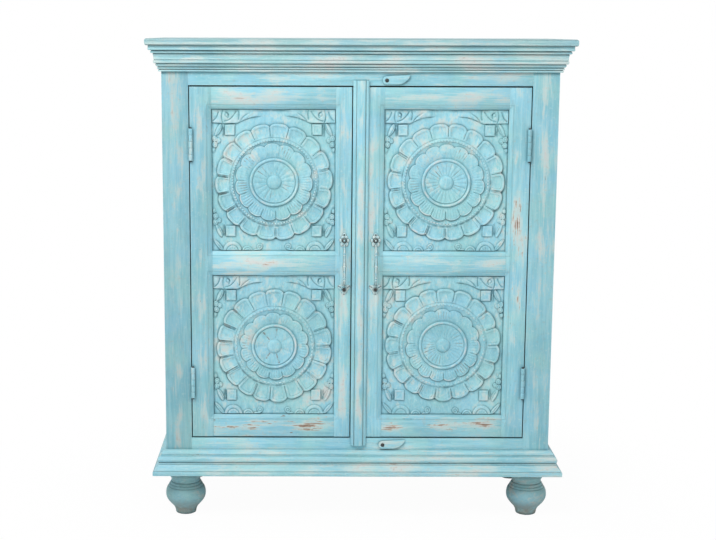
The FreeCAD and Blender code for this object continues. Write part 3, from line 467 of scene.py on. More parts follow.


# Worn turquoise paint. grain is the way of the streaks; rub, chips and edge say how much of
# the undercoat and of the wood shows. band holds stretches along an axis, each by its middle,
# half width, where its fade starts, and the rub in its middle and past its ends. shaded_cuts
# holds rectangles of fine lines cut in the face, and cut_shade says how dark they are with
# painted shade. shade_and_grime says how far painted shade and grime darken the recesses and
# gaps. dull says how grey the coat has gone. Carved pieces also read their own worked-out
# marks, among them painted shade and painted highlights
def worn_paint(name, grain, seed, rub=0.5, chips=0.5, edge=0.5, shade_and_grime=0.6, tone=1.0, band=(),
               shaded_cuts=(), cut_shade=0.5, dull=0.0, carved=False):
    paint = bpy.context.scene.cabinet_paint
    n = Nodes(name)
    streak_stretch, rub_stretch = GRAIN[grain]
    shift = (seed * 0.731, seed * 0.417, seed * 0.593)
    streaks = n.place(streak_stretch, shift)
    patches = n.place(rub_stretch, tuple(-part for part in shift))
    plain = n.place(EVEN, shift)
    whole = n.place(EVEN, (0.0, 0.0, 0.0))
    fine = n.noise(streaks, 380.0, 3.0, 0.6)
    medium = n.noise(streaks, 120.0, 3.0, 0.55, 0.2)
    broad = n.noise(patches, 40.0, 3.0, 0.5, 0.3)
    cloud = n.noise(whole, 6.0, 2.0, 0.5)
    mottle = n.noise(plain, 130.0, 4.0, 0.7)
    ragged = n.noise(plain, 60.0, 4.0, 0.6)
    nick = n.ramp(n.noise(patches, 150.0, 3.0, 0.6, 0.3),
                  0.765 - 0.05 * chips, 0.785 - 0.05 * chips)

    base = whole_coat(n, paint, medium, cloud, whole, tone, dull)
    rubbed = rubbed_field(n, fine, medium, broad, cloud, mottle, band, carved)
    base = worn_through(n, paint, base, rubbed, fine, nick, rub, chips, tone)
    base = n.mix(n.ramp(mottle, 0.56, 0.70, 0.0, 0.36), base, colour(GREY_SPOTS, tone))
    base = n.mix(n.ramp(mottle, 0.43, 0.30, 0.0, 0.35), base, colour(paint.wash, tone * 1.08))
    if grain == "turned":
        base = foot_marks(n, paint, base, ragged)
    # Painted shade darkening the fine cut lines, broken in places
    shaded_cut = shaded_cuts_along(n, shaded_cuts)
    if shaded_cut:
        dark = n.math("MULTIPLY", shaded_cut, n.ramp(ragged, 0.25, 0.55, cut_shade * 0.45, cut_shade))
        base = n.mix(dark, base, colour(paint.shade_and_grime, 0.45))
    if carved:
        base = carved_marks(n, paint, base, plain, ragged)
    else:
        base = worn_edges(n, paint, base, ragged, edge)
    # Painted shade, with some grime, darkening recesses and gaps by ambient occlusion; it is nearly
    # black deep in a narrow gap
    shelter = n.shelter(0.008)
    tinted = n.mix(1.0, base, colour(paint.shade_and_grime, 1.25), "MULTIPLY")
    base = n.mix(n.ramp(shelter, 0.45, 0.97, shade_and_grime, 0.0), base, tinted)
    base = n.mix(n.ramp(shelter, 0.12, 0.52, shade_and_grime, 0.0), base, colour(paint.shade_and_grime, 0.16))
    n.set(n.surface, "Base Color", base)
    n.set(n.surface, "Roughness", n.ramp(rubbed, 0.3, 0.7, 0.48, 0.72))
    n.set(n.surface, "Specular IOR Level", 0.35)

    relief = [(fine, 0.25, 0.0006), (medium, 0.3, 0.0010),
              (n.math("SUBTRACT", 1.0, nick), 0.5, 0.0006)]
    if shaded_cut:
        relief.append((n.math("SUBTRACT", 1.0, shaded_cut), 0.8, 0.0008))
    n.bump(relief)
    return n.material


# How far from a member's ends its rub dies away
END_FADE = 0.07


# The bands of a CAD node for worn_paint: across its grain, and along it
def band_of(node, grain):
    low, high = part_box(node)
    across, along = {"up": (0, 2), "across": (2, 0), "deep": (2, 1)}[grain]
    middle = [(low[way] + high[way]) / 2 for way in range(3)]
    half = [(high[way] - low[way]) / 2 for way in range(3)]
    ends = max(0.1, 1 - END_FADE / half[along])
    return ((across, middle[across], half[across], 0.05, 0.055, -0.070),
            (along, middle[along], half[along], ends, 0.0, -0.08))


# Light and dark rings of oiled wood, its pores, the tint of its darker boards and its seams
WOOD_LIGHT = (0.400, 0.255, 0.150)
WOOD_DARK = (0.210, 0.120, 0.068)
WOOD_PORE = (0.100, 0.055, 0.032)
WOOD_OTHER = (0.160, 0.095, 0.056)
WOOD_SEAM = (0.030, 0.018, 0.012)


# Oiled wood. boards is where the first of a row of boards starts and how wide each is, so that
# each has its own tone and a seam
def bare_wood(name, grain, seed, boards=None):
    n = Nodes(name)
    where = n.place(GRAIN[grain][0], (seed * 0.37, seed * 0.71, seed * 0.53))
    if boards:
        place = n.math("DIVIDE", n.math("SUBTRACT", n.axis(0), boards[0]), boards[1])
        own = n.add("TexWhiteNoise", {"W": n.math("FLOOR", place)},
                    noise_dimensions="1D").outputs["Value"]
        moved = n.add("VectorMath", operation="ADD")
        n.set(moved, 0, where)
        n.set(moved, 1, n.add("CombineXYZ", {"Z": n.math("MULTIPLY", own, 7.0)}).outputs[0])
        where = moved.outputs[0]
    rings = n.noise(where, 85.0, 5.0, 0.6, 0.8)
    pores = n.noise(where, 420.0, 2.0, 0.7)
    base = n.mix(n.ramp(rings, 0.3, 0.7), colour(WOOD_DARK), colour(WOOD_LIGHT))
    base = n.mix(n.ramp(pores, 0.60, 0.75, 0.0, 0.5), base, colour(WOOD_PORE))
    if boards:
        base = n.mix(n.ramp(own, 0.0, 1.0, 0.0, 0.45), base, colour(WOOD_OTHER))
        middle = n.distance(n.math("FRACT", place), 0.5)
        base = n.mix(n.ramp(middle, 0.489, 0.495, 0.0, 0.85), base, colour(WOOD_SEAM))
    n.set(n.surface, "Base Color", base)
    n.set(n.surface, "Roughness", n.ramp(rings, 0.3, 0.7, 0.62, 0.78))
    n.bump([(rings, 0.3, 0.0008), (pores, 0.4, 0.0004)])
    return n.material


# Tints of the pulls' iron: bright where it is rubbed and on its crests, and dark with painted
# shade, with some soot, in its hollows and on its faces turned sideways
IRON_RUB = (0.66, 0.72, 0.70)
IRON_CREST = (0.68, 0.76, 0.75)
IRON_SHADE_AND_SOOT = (0.045, 0.052, 0.052)
IRON_SIDE_SHADE = (0.060, 0.085, 0.088)
IRON_SPECK = (0.070, 0.060, 0.055)
IRON_HOLLOW_SHADE = (0.030, 0.040, 0.042)


def painted_iron(name, seed):
    paint = bpy.context.scene.cabinet_paint
    n = Nodes(name)
    where = n.place(EVEN, (seed * 0.3, seed * 0.7, seed * 0.2))
    patch = n.noise(where, 95.0, 4.0, 0.6, 0.4)
    speck = n.noise(where, 420.0, 3.0, 0.6)
    base = n.mix(n.ramp(patch, 0.35, 0.62), colour(paint.deep, 1.05), colour(paint.wash, 1.0))
    rub = n.ramp(n.add("NewGeometry").outputs["Pointiness"], 0.50, 0.58, 0.0, 0.7)
    base = n.mix(rub, base, colour(IRON_RUB))
    base = n.mix(n.marks("crest"), base, colour(IRON_CREST))
    # Painted shade and soot in the plates' hollows and clefts
    base = n.mix(n.math("MULTIPLY", n.marks("soot"), 0.9), base, colour(IRON_SHADE_AND_SOOT))
    # Painted shade on the faces turned sideways, as along the bar's sides
    sideways = n.math("ABSOLUTE", n.axis(0, of="Normal"))
    base = n.mix(n.ramp(sideways, 0.52, 0.85, 0.0, 0.85), base, colour(IRON_SIDE_SHADE))
    base = n.mix(n.ramp(speck, 0.595, 0.72, 0.0, 0.85), base, colour(IRON_SPECK))
    # Painted shade where ambient occlusion finds a hollow
    base = n.mix(n.ramp(n.shelter(0.006), 0.2, 0.95, 0.92, 0.0), base, colour(IRON_HOLLOW_SHADE))
    n.set(n.surface, "Base Color", base)
    n.set(n.surface, "Metallic", n.ramp(speck, 0.62, 0.72, 0.0, 0.6))
    n.set(n.surface, "Roughness", n.ramp(patch, 0.3, 0.7, 0.42, 0.62))
    n.bump([(patch, 0.35, 0.0010), (speck, 0.4, 0.0004)])
    return n.material


def dark_steel(name):
    n = Nodes(name)
    where = n.place(EVEN, (0.4, 0.1, 0.9))
    speck = n.noise(where, 500.0, 4.0, 0.6)
    n.set(n.surface, "Base Color", n.mix(n.ramp(speck, 0.35, 0.7), colour((0.030, 0.034, 0.036)),
                                         colour((0.120, 0.115, 0.105))))
    n.set(n.surface, "Metallic", 0.8)
    n.set(n.surface, "Roughness", n.ramp(speck, 0.3, 0.7, 0.45, 0.7))
    n.bump([(speck, 0.4, 0.0003)])
    return n.material


# A copy of a CAD node with merged faces and eased edges, standing for that node
def eased_copy(node, body, slot, material, ease=0.0011, keep=0.6):
    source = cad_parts[node]
    piece = bpy.data.objects.new(node + "_worked", source.data.copy())
    bpy.context.scene.collection.objects.link(piece)
    choose(piece)
    bpy.ops.object.mode_set(mode="EDIT")
    bpy.ops.mesh.select_all(action="SELECT")
    bpy.ops.mesh.remove_doubles(threshold=CAD_WELD)
    bpy.ops.mesh.dissolve_limited(angle_limit=math.radians(keep))
    bpy.ops.object.mode_set(mode="OBJECT")
    if ease:
        modify(piece, "BEVEL", width=ease, segments=2, limit_method="ANGLE",
               angle_limit=math.radians(38), use_clamp_overlap=True)
    shade(piece, 40.0)
    return finish(piece, body, slot, material, node)


# Carved panels

# Distance from points to a bent stroke that tapers, less its half width there
def stroke(a, b, spine, widths):
    best = np.full_like(a, 1e3)
    (ax, ay), (bx, by), (cx, cy) = spine
    for step in range(25):
        t = step / 24
        px = (1 - t) ** 2 * ax + 2 * t * (1 - t) * bx + t * t * cx
        py = (1 - t) ** 2 * ay + 2 * t * (1 - t) * by + t * t * cy
        wide = (1 - t) ** 2 * widths[0] + 2 * t * (1 - t) * widths[1] + t * t * widths[2]
        best = np.minimum(best, np.hypot(a - px, b - py) - wide)
    return best


# A carved form: a steep cut at its outline and a rounded back
def raised(distance, height, soft=3.0):
    t = np.clip(-distance / soft, 0.0, 1.0)
    return height * (0.62 * smooth(0.0, 0.30, t) + 0.38 * np.sqrt(1.0 - (1.0 - t) ** 2))


def cut_line(distance, depth, width):
    return depth * np.exp(-(distance / width) ** 2)


# How deep each point of a field of heights lies under its surroundings, from 0 to 1
def hollows(h, reach, around=False):
    near = np.zeros_like(h)
    count = 0
    for rows in range(-reach, reach + 1):
        for columns in range(-reach, reach + 1):
            if around:
                moved = np.roll(h[:, :-1], columns, axis=1)
                moved = np.concatenate([moved, moved[:, :1]], axis=1)
            else:
                moved = np.roll(h, columns, axis=1)
            row_at = np.clip(np.arange(h.shape[0]) + rows, 0, h.shape[0] - 1)
            near += moved[row_at]
            count += 1
    return smooth(0.10, 0.75, near / count - h)


# Least distance to a set of bent lines
def lines(a, b, *spines):
    best = np.full_like(a, 1e3)
    for spine in spines:
        best = np.minimum(best, stroke(a, b, spine, (0, 0, 0)))
    return best


# Corner carving, by millimetres in from the side of the panel and in from its top or bottom.
# The top corners hold a leaf spray under a curved edge, the bottom ones two arches and a hook
SPRAY_EDGE = ((0, 32.6), (2, 32.6), (32, 33.8), (60, 33.7), (75, 26.5), (90, 20.5), (104, 17.6),
              (118, 17.0), (124, 12.0), (125, -5.0))
SPRAY_VEINS = (((28, 33), (21, 18), (27, 4)), ((31, 28), (47, 26), (58, 6)),
               ((64, 2), (67, 12), (64, 24)), ((69, 27), (79, 12), (98, 6)),
               ((85, 21), (96, 10), (110, 7)), ((5, 27), (14, 22), (17, 7)),
               ((39, 20), (44, 10), (34, 7)), ((101, 17), (112, 14), (119, 8)))
ARCHES = ((48, 23), (84, 13))
HOOK = (113, 11)
HOOK_TAIL = ((100, 3), (106, 4), (113, 4))
LOW_LEAF = ((24, 4), (16, 13), (5, 27))
LOW_LEAF_VEIN = ((26, 2), (16, 13), (3, 30))
BLOCK = (44.2, 48.5)
BLOCK_HALF = (11.8, 13.2)
SIDE_LEAF = ((22, 37), (18, 49), (10, 62))
SIDE_LEAF_VEIN = ((24, 36), (21, 50), (10, 64))
BUDS = ((7.5, 70, 6.5), (16.5, 74, 5.6), (8.0, 83.5, 6.4), (5.0, 96, 4.6))
STEM = ((29, 37), (27, 52), (28.5, 68))
WAVE = ((2.5, 62), (24, 80), (3, 104))


def top_spray(a, b, height):
    edge = np.interp(a, *zip(*SPRAY_EDGE))
    away = np.maximum(b - edge, np.maximum(a - 124.5, -1.0 - np.minimum(a, b)))
    h = raised(away, height, 4.5) * (1 - smooth(106, 124, a))
    veins = lines(a, b, *SPRAY_VEINS)
    fade = 1 - smooth(78, 100, a)
    h -= np.where(away < -1.2, cut_line(veins, 1.7, 1.15), 0) * fade
    h -= np.where(away < -1.2, 0.45 * np.cos(np.minimum(veins, 6) / 6 * math.pi), 0) * fade
    curl = np.hypot(a - 36, b - 13)
    return h - np.where(curl < 7, cut_line(curl - 3.8, 1.3, 0.9), 0)


def bottom_arches(a, b, height):
    h = np.zeros_like(a)
    for middle, radius in ARCHES:
        away = np.hypot(a - middle, (b + 1) * 0.92) - radius
        arch = raised(away, height * 0.9, 5.0) - cut_line(away + radius * 0.38, 1.6, 1.1)
        arch -= 0.9 * smooth(-radius * 0.45, -radius * 0.75, away)
        fan = np.abs(np.sin(5 * np.arctan2(a - middle, b + 1)))
        h = np.maximum(h, arch - np.where(away < -radius * 0.5, 0.7 * (1 - fan) ** 2, 0))
    hook = np.hypot(a - HOOK[0], b - HOOK[1])
    h = np.maximum(h, raised(hook - 7.5, height * 0.8, 4.0) - cut_line(hook - 3.4, 1.4, 0.9))
    h = np.maximum(h, raised(stroke(a, b, HOOK_TAIL, (1.5, 2.2, 2.4)), height * 0.7, 2.0))
    leaf = raised(stroke(a, b, LOW_LEAF, (3.0, 7.5, 2.5)), height, 4.5)
    return np.maximum(h, leaf - cut_line(lines(a, b, LOW_LEAF_VEIN), 1.3, 0.9))


def corner_spray(a, b, height, top):
    h = top_spray(a, b, height) if top else bottom_arches(a, b, height)
    box = np.maximum(np.abs(a - BLOCK[0]) - BLOCK_HALF[0], np.abs(b - BLOCK[1]) - BLOCK_HALF[1])
    h = np.maximum(h, raised(box, height * 0.95, 2.4) - 0.9 * smooth(-3.0, -7.5, box))
    leaf = raised(stroke(a, b, SIDE_LEAF, (3.4, 8.8, 2.2)), height, 4.5)
    h = np.maximum(h, leaf - cut_line(lines(a, b, SIDE_LEAF_VEIN), 1.5, 1.0))
    for middle_a, middle_b, radius in BUDS:
        away = np.hypot(a - middle_a, (b - middle_b) * 0.9)
        bud = raised(away - radius, height * 0.85, 3.2) - cut_line(away - radius * 0.5, 1.0, 0.8)
        h = np.maximum(h, bud)
    h = np.maximum(h, raised(stroke(a, b, STEM, (0.7, 1.5, 0.5)), height * 0.7, 1.4))
    h = np.maximum(h, raised(stroke(a, b, WAVE, (1.2, 1.2, 0.8)), height * 0.6, 1.3))
    return np.maximum(h, 0)


# Places from the first stop to the last, evenly set between stops at each one's own step
def even_lines(stops):
    places = []
    for (low, step), (high, _) in zip(stops[:-1], stops[1:]):
        count = max(1, round((high - low) / step))
        places.extend(np.linspace(low, high, count, endpoint=False))
    places.append(stops[-1][0])
    return np.array(places)


# Where a turn lies across its outer petal, which petal it is, and how far out its edge is there
def petal_edge(plan, turn):
    rng = np.random.default_rng(plan["seed"] + 100)
    count = plan["outer"]
    uneven = rng.uniform(-1, 1, (3, count))
    sway, way = plan["outer_sway"]
    worn = turn - math.radians(sway) * np.cos(turn - math.radians(way))
    worn += 0.006 * np.sin(3 * turn + plan["seed"])
    s, number = across_petal(worn, count, plan["outer_turn"] + 180)
    tip = bpy.context.scene.cabinet_carving.outer_tip / MM
    edge = tip - 8.0 * np.abs(s) ** 3.4 + 0.8 * uneven[0][number] * (1 - s * s) - 0.8
    return s, number, edge


# The same for the inner petals
def inner_edge(plan, turn):
    rng = np.random.default_rng(plan["seed"] + 200)
    count = plan["inner"]
    uneven = rng.uniform(-1, 1, count)
    worn = turn + 0.012 * np.sin(2 * turn + plan["seed"] * 2)
    s, number = across_petal(worn, count, plan["inner_turn"] + 180)
    tip = plan["inner_tip"] / MM
    return s, number, tip - 6.4 * np.abs(s) ** 2.6 + 0.7 * uneven[number] * (1 - s * s)


# The rosettes are crisp in their lower half and clogged with paint in their upper one. Their
# painted shade and painted highlights are also strongest in the lower half
def crispness(turn):
    return 0.5 - 0.5 * np.cos(turn)


# Pitch of a board's grid where corners are carved, and between them across and up, in
# millimetres. Half the width of the plain middle, and how far in from top and bottom the
# carving reaches
FINE_PITCH = 1.15
WIDE_PITCH = 2.5
TALL_PITCH = 3.2
PLAIN_HALF = 20
CARVED_DEPTH = 96


# Heights of the four corner sprays over a board, in millimetres
def carved_corners(plan, x, z, half_x, half_z, height):
    seed = plan["seed"]
    h = np.zeros_like(x)
    for side in (-1, 1):
        for level in (-1, 1):
            part = (x * side > 0) & (z * level > 0)
            jitter = np.random.default_rng(seed + side * 3 + level).uniform(-1.2, 1.2, 3)
            a = half_x - side * x[part] + 0.6 * wobble(x[part], z[part], 60, seed + 1)
            b = half_z - level * z[part] + 0.6 * wobble(x[part], z[part], 55, seed + 2)
            h[part] = corner_spray(a + jitter[0] * 0.5, b + jitter[1] * 0.5,
                                   height * (1 + 0.08 * jitter[2]), level > 0)
    return h


# Painted shade and soot of a board: in the cuts, round the rosette, and a painted shadow along
# the board's top and left edges, where the frame shades it
def board_shade_and_soot(plan, x, z, half_x, half_z, h, inside):
    across, up = x - plan["dx"] / MM, z - plan["dz"] / MM
    out, turn = np.hypot(across, up), np.arctan2(across, up) % (2 * math.pi)
    edge = petal_edge(plan, turn)[2]
    under = np.where(out < edge, 4.0, 0.0)
    wall = np.where(inside < 0.5, 2.5, 0.0)
    soot = hollows(np.maximum(np.maximum(h, under), wall), 2)
    soot *= np.where(out < edge + 6, 0.45 + 0.55 * crispness(turn), 0.85)
    # Painted shadow that the frame casts along the board's top and left edges
    soot = np.maximum(soot, 0.80 * smooth(8.5, 2.5, half_z - z))
    return np.maximum(soot, 0.60 * smooth(7.0, 2.0, half_x + x)) * (under < 1) * (inside > 0)


# Board of one panel with the corner sprays cut in it, tongued into the door's frame
def carved_board(key, plan, height):
    half_x, half_z = PANEL_HALF_WIDTH / MM, plan["half"] / MM
    tongue = TONGUE / MM
    xs = even_lines([(-half_x - tongue, tongue), (-half_x, FINE_PITCH), (-PLAIN_HALF, WIDE_PITCH),
                     (PLAIN_HALF, FINE_PITCH), (half_x, tongue), (half_x + tongue, 0)])
    zs = even_lines([(-half_z - tongue, tongue), (-half_z, FINE_PITCH),
                     (CARVED_DEPTH - half_z, TALL_PITCH), (half_z - CARVED_DEPTH, FINE_PITCH),
                     (half_z, tongue), (half_z + tongue, 0)])
    piece = primitive("grid", key + "_carved_board", x_subdivisions=len(xs) - 1,
                      y_subdivisions=len(zs) - 1, size=1)
    x, z = np.meshgrid(xs, zs)
    h = carved_corners(plan, x, z, half_x, half_z, height / MM)
    inside = np.minimum(half_x - np.abs(x), half_z - np.abs(z))
    margin = smooth(0.3, 2.0, inside)
    # Pale crests on the highest carving: rubbed paint and partly a painted highlight
    crest = 0.40 * smooth(0.70, 1.0, h / (height / MM)) * margin
    soot = board_shade_and_soot(plan, x, z, half_x, half_z, h * margin, inside)
    uneven = 0.22 * wobble(x, z, 16, plan["seed"] + 5) + 0.12 * wobble(x, z, 6, plan["seed"] + 6)
    y = np.full_like(x, PANEL_FACE / MM) - (h + uneven) * margin
    points = np.stack([x + plan["x"] / MM, y, z + plan["z"] / MM], axis=-1) * MM
    piece.data.vertices.foreach_set("co", points.astype(np.float32).ravel())
    piece.data.update()
    choose(piece)
    bpy.ops.object.mode_set(mode="EDIT")
    bpy.ops.mesh.select_mode(type="EDGE")
    bpy.ops.mesh.select_all(action="SELECT")
    bpy.ops.mesh.region_to_loop()
    thick = (0, BOARD_BACK - PANEL_FACE, 0)
    bpy.ops.mesh.extrude_edges_move(TRANSFORM_OT_translate={"value": thick})
    bpy.ops.mesh.edge_face_add()
    bpy.ops.object.mode_set(mode="OBJECT")
    spare = np.zeros(len(piece.data.vertices) - crest.size)
    point_values(piece, "crest", np.concatenate([crest.ravel(), spare]))
    point_values(piece, "soot", np.concatenate([soot.ravel(), spare]))
    return piece


# A ring or disc as turned on a lathe and then carved. carve gives, for every turn and share
# of the way out, the radius and the height off the face in millimetres, and three marks for
# the paint: pale crests, stains, and painted shade with grime. centre is its middle across and
# up, face the plane that it lies on
def turned_ring(name, centre, face, rings, steps, carve, back=1.2):
    flat = primitive("grid", name, x_subdivisions=steps, y_subdivisions=rings, size=1)
    turn = np.linspace(0, 2 * math.pi, steps + 1)
    share = np.linspace(0, 1, rings + 1)
    turn, share = np.meshgrid(turn, share)
    radius, h, crest, mark, shade_and_grime = carve(turn, share)
    points = np.stack([centre[0] / MM + radius * np.sin(turn), face / MM - h,
                       centre[1] / MM + radius * np.cos(turn)], axis=-1) * MM
    flat.data.vertices.foreach_set("co", points.astype(np.float32).ravel())
    point_values(flat, "crest", crest)
    point_values(flat, "mark", mark)
    # Painted shade, with some soot, in the hollows, strongest in the rosette's lower half
    soot = hollows(h, 2, around=True) * (0.50 + 0.50 * crispness(turn))
    point_values(flat, "soot", np.clip(soot + shade_and_grime, 0, 1))
    choose(flat)
    bpy.ops.object.mode_set(mode="EDIT")
    bpy.ops.mesh.select_all(action="SELECT")
    bpy.ops.mesh.remove_doubles(threshold=WELD)
    bpy.ops.mesh.select_mode(type="EDGE")
    bpy.ops.mesh.select_all(action="SELECT")
    bpy.ops.mesh.region_to_loop()
    mesh = bmesh.from_edit_mesh(flat.data)
    if any(edge.select for edge in mesh.edges):
        bpy.ops.mesh.extrude_edges_move(TRANSFORM_OT_translate={"value": (0, 0, 0)})
        mesh = bmesh.from_edit_mesh(flat.data)
        for vertex in mesh.verts:
            if vertex.select:
                vertex.co.y = face + back * MM
        bmesh.update_edit_mesh(flat.data)
        loops = [edge for edge in mesh.edges if edge.select]
        if radius[0].max() > 0.5:
            bpy.ops.mesh.bridge_edge_loops()
        elif loops:
            bpy.ops.mesh.edge_face_add()
    bpy.ops.mesh.select_all(action="SELECT")
    bpy.ops.mesh.normals_make_consistent(inside=False)
    bpy.ops.object.mode_set(mode="OBJECT")
    return flat


# Where a turn lies across its petal, from -1 to 1, and which petal it is
def across_petal(turn, count, start):
    place = (turn / (2 * math.pi) * count - start / 360 * count)
    number = np.floor(place).astype(int) % count
    return (place - np.floor(place)) * 2 - 1, number


def outer_petals(plan, height):
    rng = np.random.default_rng(plan["seed"] + 100)
    count = plan["outer"]
    uneven = rng.uniform(-1, 1, (3, count))
    shown = rng.uniform(0.0, 1.0, count) ** 0.7

    def carve(turn, share):
        s, number, edge = petal_edge(plan, turn)
        start = plan["inner_tip"] / MM - 12.0
        radius = start + (edge - start) * share
        pitch = 2 * math.pi * radius / count
        d = (1 - np.abs(s)) * pitch / 2
        out = edge - radius
        ends = plan["bead_ring"] / MM + 5.5
        inward = radius - ends
        e = (np.maximum(d - 4.3, 0.05) ** -3 + np.maximum(out - 4.6, 0.05) ** -3
             + np.maximum(inward, 0.05) ** -3) ** (-1 / 3)
        dish = (2.7 + 0.5 * uneven[1][number]) * (1 - np.exp(-(e / 4.6) ** 2))
        bars = smooth(ends + 1, ends + 6, radius) * smooth(0.6, 2.4, out)
        h = height - dish
        side = smooth(-0.5, 0.5, -np.sin(turn)) * smooth(0.95, 0.45, np.cos(turn))
        side += 0.5 * smooth(0.2, 0.8, np.sin(turn))
        lit = np.where(s > 0, shown[number], shown[(number - 1) % count])
        hatched = np.clip(side * (0.45 + 0.75 * lit), 0, 1)
        h -= bars * (cut_line(d, 1.9, 0.75) + cut_line(d - 2.5, 1.9, 0.7) * hatched)
        h -= bars * cut_line(e - 3.0, 0.7, 0.8)
        h -= 1.6 * np.exp(-((radius - ends) / 1.8) ** 2)
        h += 0.25 * wobble(turn * 40, radius, 14, plan["seed"] + 7)
        h -= 2.2 * (1 - smooth(start + 12, start + 24, radius))
        roll = np.clip(out / 2.4, 0, 1)
        h = h * (0.35 + 0.65 * np.sqrt(1 - (1 - roll) ** 2))
        crisp = crispness(turn)
        # Pale crests on the rims and bars: rubbed paint and partly a painted highlight, strongest
        # in the lower half
        crest = np.exp(-((out - 2.4) / 1.9) ** 2)
        crest += 0.9 * np.exp(-((d - 2.9) / 1.3) ** 2) * (1 - 0.8 * hatched)
        crest *= (0.75 + 0.25 * uneven[2][number]) * (0.30 + 0.85 * crisp)
        span = smooth(112, 118, radius) * (1 - smooth(130, 136, radius))
        hatch = np.exp(-((d - 2.5) / 0.7) ** 2) + np.exp(-(d / 0.6) ** 2)
        mark = hatch * span * lit * (0.35 + 0.75 * hatched)
        mark += 0.65 * np.exp(-((out - 1.8) / 0.8) ** 2) * (1 - crisp) * (0.4 + 0.6 * lit)
        # Painted shadow just outside the inner petals' tips, painted shade in dashes along the gap
        # by the bead string, and painted shade in the hatched cuts
        tips = inner_edge(plan, turn)[2]
        shade_and_grime = 0.8 * np.exp(-((radius - tips - 0.9) / 1.1) ** 2) * (0.25 + 0.75 * crisp)
        pulse = np.abs(np.sin(turn * plan["beads"] / 4 + 0.3 * np.sin(5 * turn)))
        dashes = 0.30 + 0.70 * smooth(0.35, 0.75, pulse)
        dashes *= 0.12 + 0.88 * smooth(0.25, 0.75, crisp)
        shade_and_grime += 1.3 * np.exp(-((radius - ends) / 2.2) ** 2) * dashes
        shade_and_grime += hatch * span * hatched * smooth(0.45, 0.8, lit)
        return radius, h, np.clip(crest, 0, 1), np.clip(mark, 0, 1), shade_and_grime

    return carve


# Reeds cut across each inner petal
REEDS = 5


def inner_petals(plan, height):
    rng = np.random.default_rng(plan["seed"] + 200)
    count = plan["inner"]
    uneven = rng.uniform(-1, 1, (3, count))
    start = plan["ring"] / MM + 1.0

    def carve(turn, share):
        s, number, edge = inner_edge(plan, turn)
        radius = start + (edge - start) * share
        pitch = 2 * math.pi * radius / count
        d = (1 - np.abs(s)) * pitch / 2
        out = edge - radius
        rise = smooth(start + 1.5, start + 20, radius)
        h = 3.9 + (height - 3.9) * rise
        reeded = smooth(start + 5, start + 11, radius) * smooth(3.6, 6.5, out)
        clear = 0.30 + 0.70 * smooth(0.15, 0.75, crispness(turn))
        reeds = 0.5 + 0.5 * np.cos(math.pi * REEDS * (s + 1))
        h -= 0.95 * clear * reeded * reeds ** 1.5 * smooth(0.3, 1.5, d)
        h -= cut_line(out - 4.2, 0.75, 0.9) * smooth(1.0, 3.0, d) * clear
        h -= cut_line(d, 1.9, 0.9) * smooth(start + 8, start + 16, radius) * clear
        h += 0.2 * wobble(turn * 30, radius, 10, plan["seed"] + 8)
        roll = np.clip(out / 2.2, 0, 1)
        h = h * (0.45 + 0.55 * np.sqrt(1 - (1 - roll) ** 2))
        # Pale crests near the petals' tips: rubbed paint and partly a painted highlight, strongest
        # in the lower half
        crest = np.exp(-((out - 2.0) / 1.6) ** 2) * (0.75 + 0.25 * uneven[1][number])
        crest *= 0.35 + 0.75 * crispness(turn)
        mark = reeded * reeds ** 2 * np.clip(uneven[2][number] - 0.15, 0, 1) * 0.6
        return radius, h, np.clip(crest, 0, 1), np.clip(mark, 0, 1), np.zeros_like(h)

    return carve


def bead_string(plan):
    middle = plan["bead_ring"] / MM
    beads = plan["beads"]

    def carve(turn, share):
        around = (share - 0.5) * math.pi
        pulse = np.abs(np.sin(turn * beads / 2 + 0.3 * np.sin(5 * turn)))
        crisp = crispness(turn)
        swell = 0.40 + 0.60 * pulse ** 0.7
        tube = 3.3 * swell
        radius = middle + tube * np.sin(around) + 0.3 * np.sin(4 * turn + plan["seed"])
        h = 3.2 + tube * np.cos(around)
        # Pale crests on the beads: rubbed paint and partly a painted highlight
        crest = (0.25 + 0.45 * crisp) * np.exp(-((around + 0.3) / 0.7) ** 2) * swell
        mark = (1 - swell) * 0.9 * smooth(0.2, 0.9, np.sin(turn + plan["seed"]) * 0.5 + 0.5)
        # Painted shade on the beads' outer flanks and in the gaps between them, strongest in the
        # lower half
        shade_and_grime = smooth(0.55, 1.1, around) * (0.25 + 0.75 * smooth(0.3, 0.8, pulse))
        shade_and_grime *= smooth(0.12, 0.6, crisp)
        return radius, h, np.clip(crest, 0, 1), np.clip(mark, 0, 1), shade_and_grime

    return carve


# Sections of a rosette's middle: boss and dish by millimetres out from the middle, and the
# ring by millimetres out from its own crest, both with their height off the board
MIDDLE_SECTION = ((0.0, 9.3), (6.0, 9.1), (11.0, 8.3), (14.5, 6.8), (16.3, 5.0), (17.4, 3.7),
                  (20.0, 4.0), (30.0, 4.2))
RING_SECTION = ((-9.5, 5.4), (-6.2, 6.4), (-4.9, 6.1), (-4.1, 5.2), (-3.2, 6.9), (-1.6, 8.6),
                (0.0, 9.2), (1.6, 8.9), (2.9, 7.6), (3.7, 5.6), (4.3, 3.6))


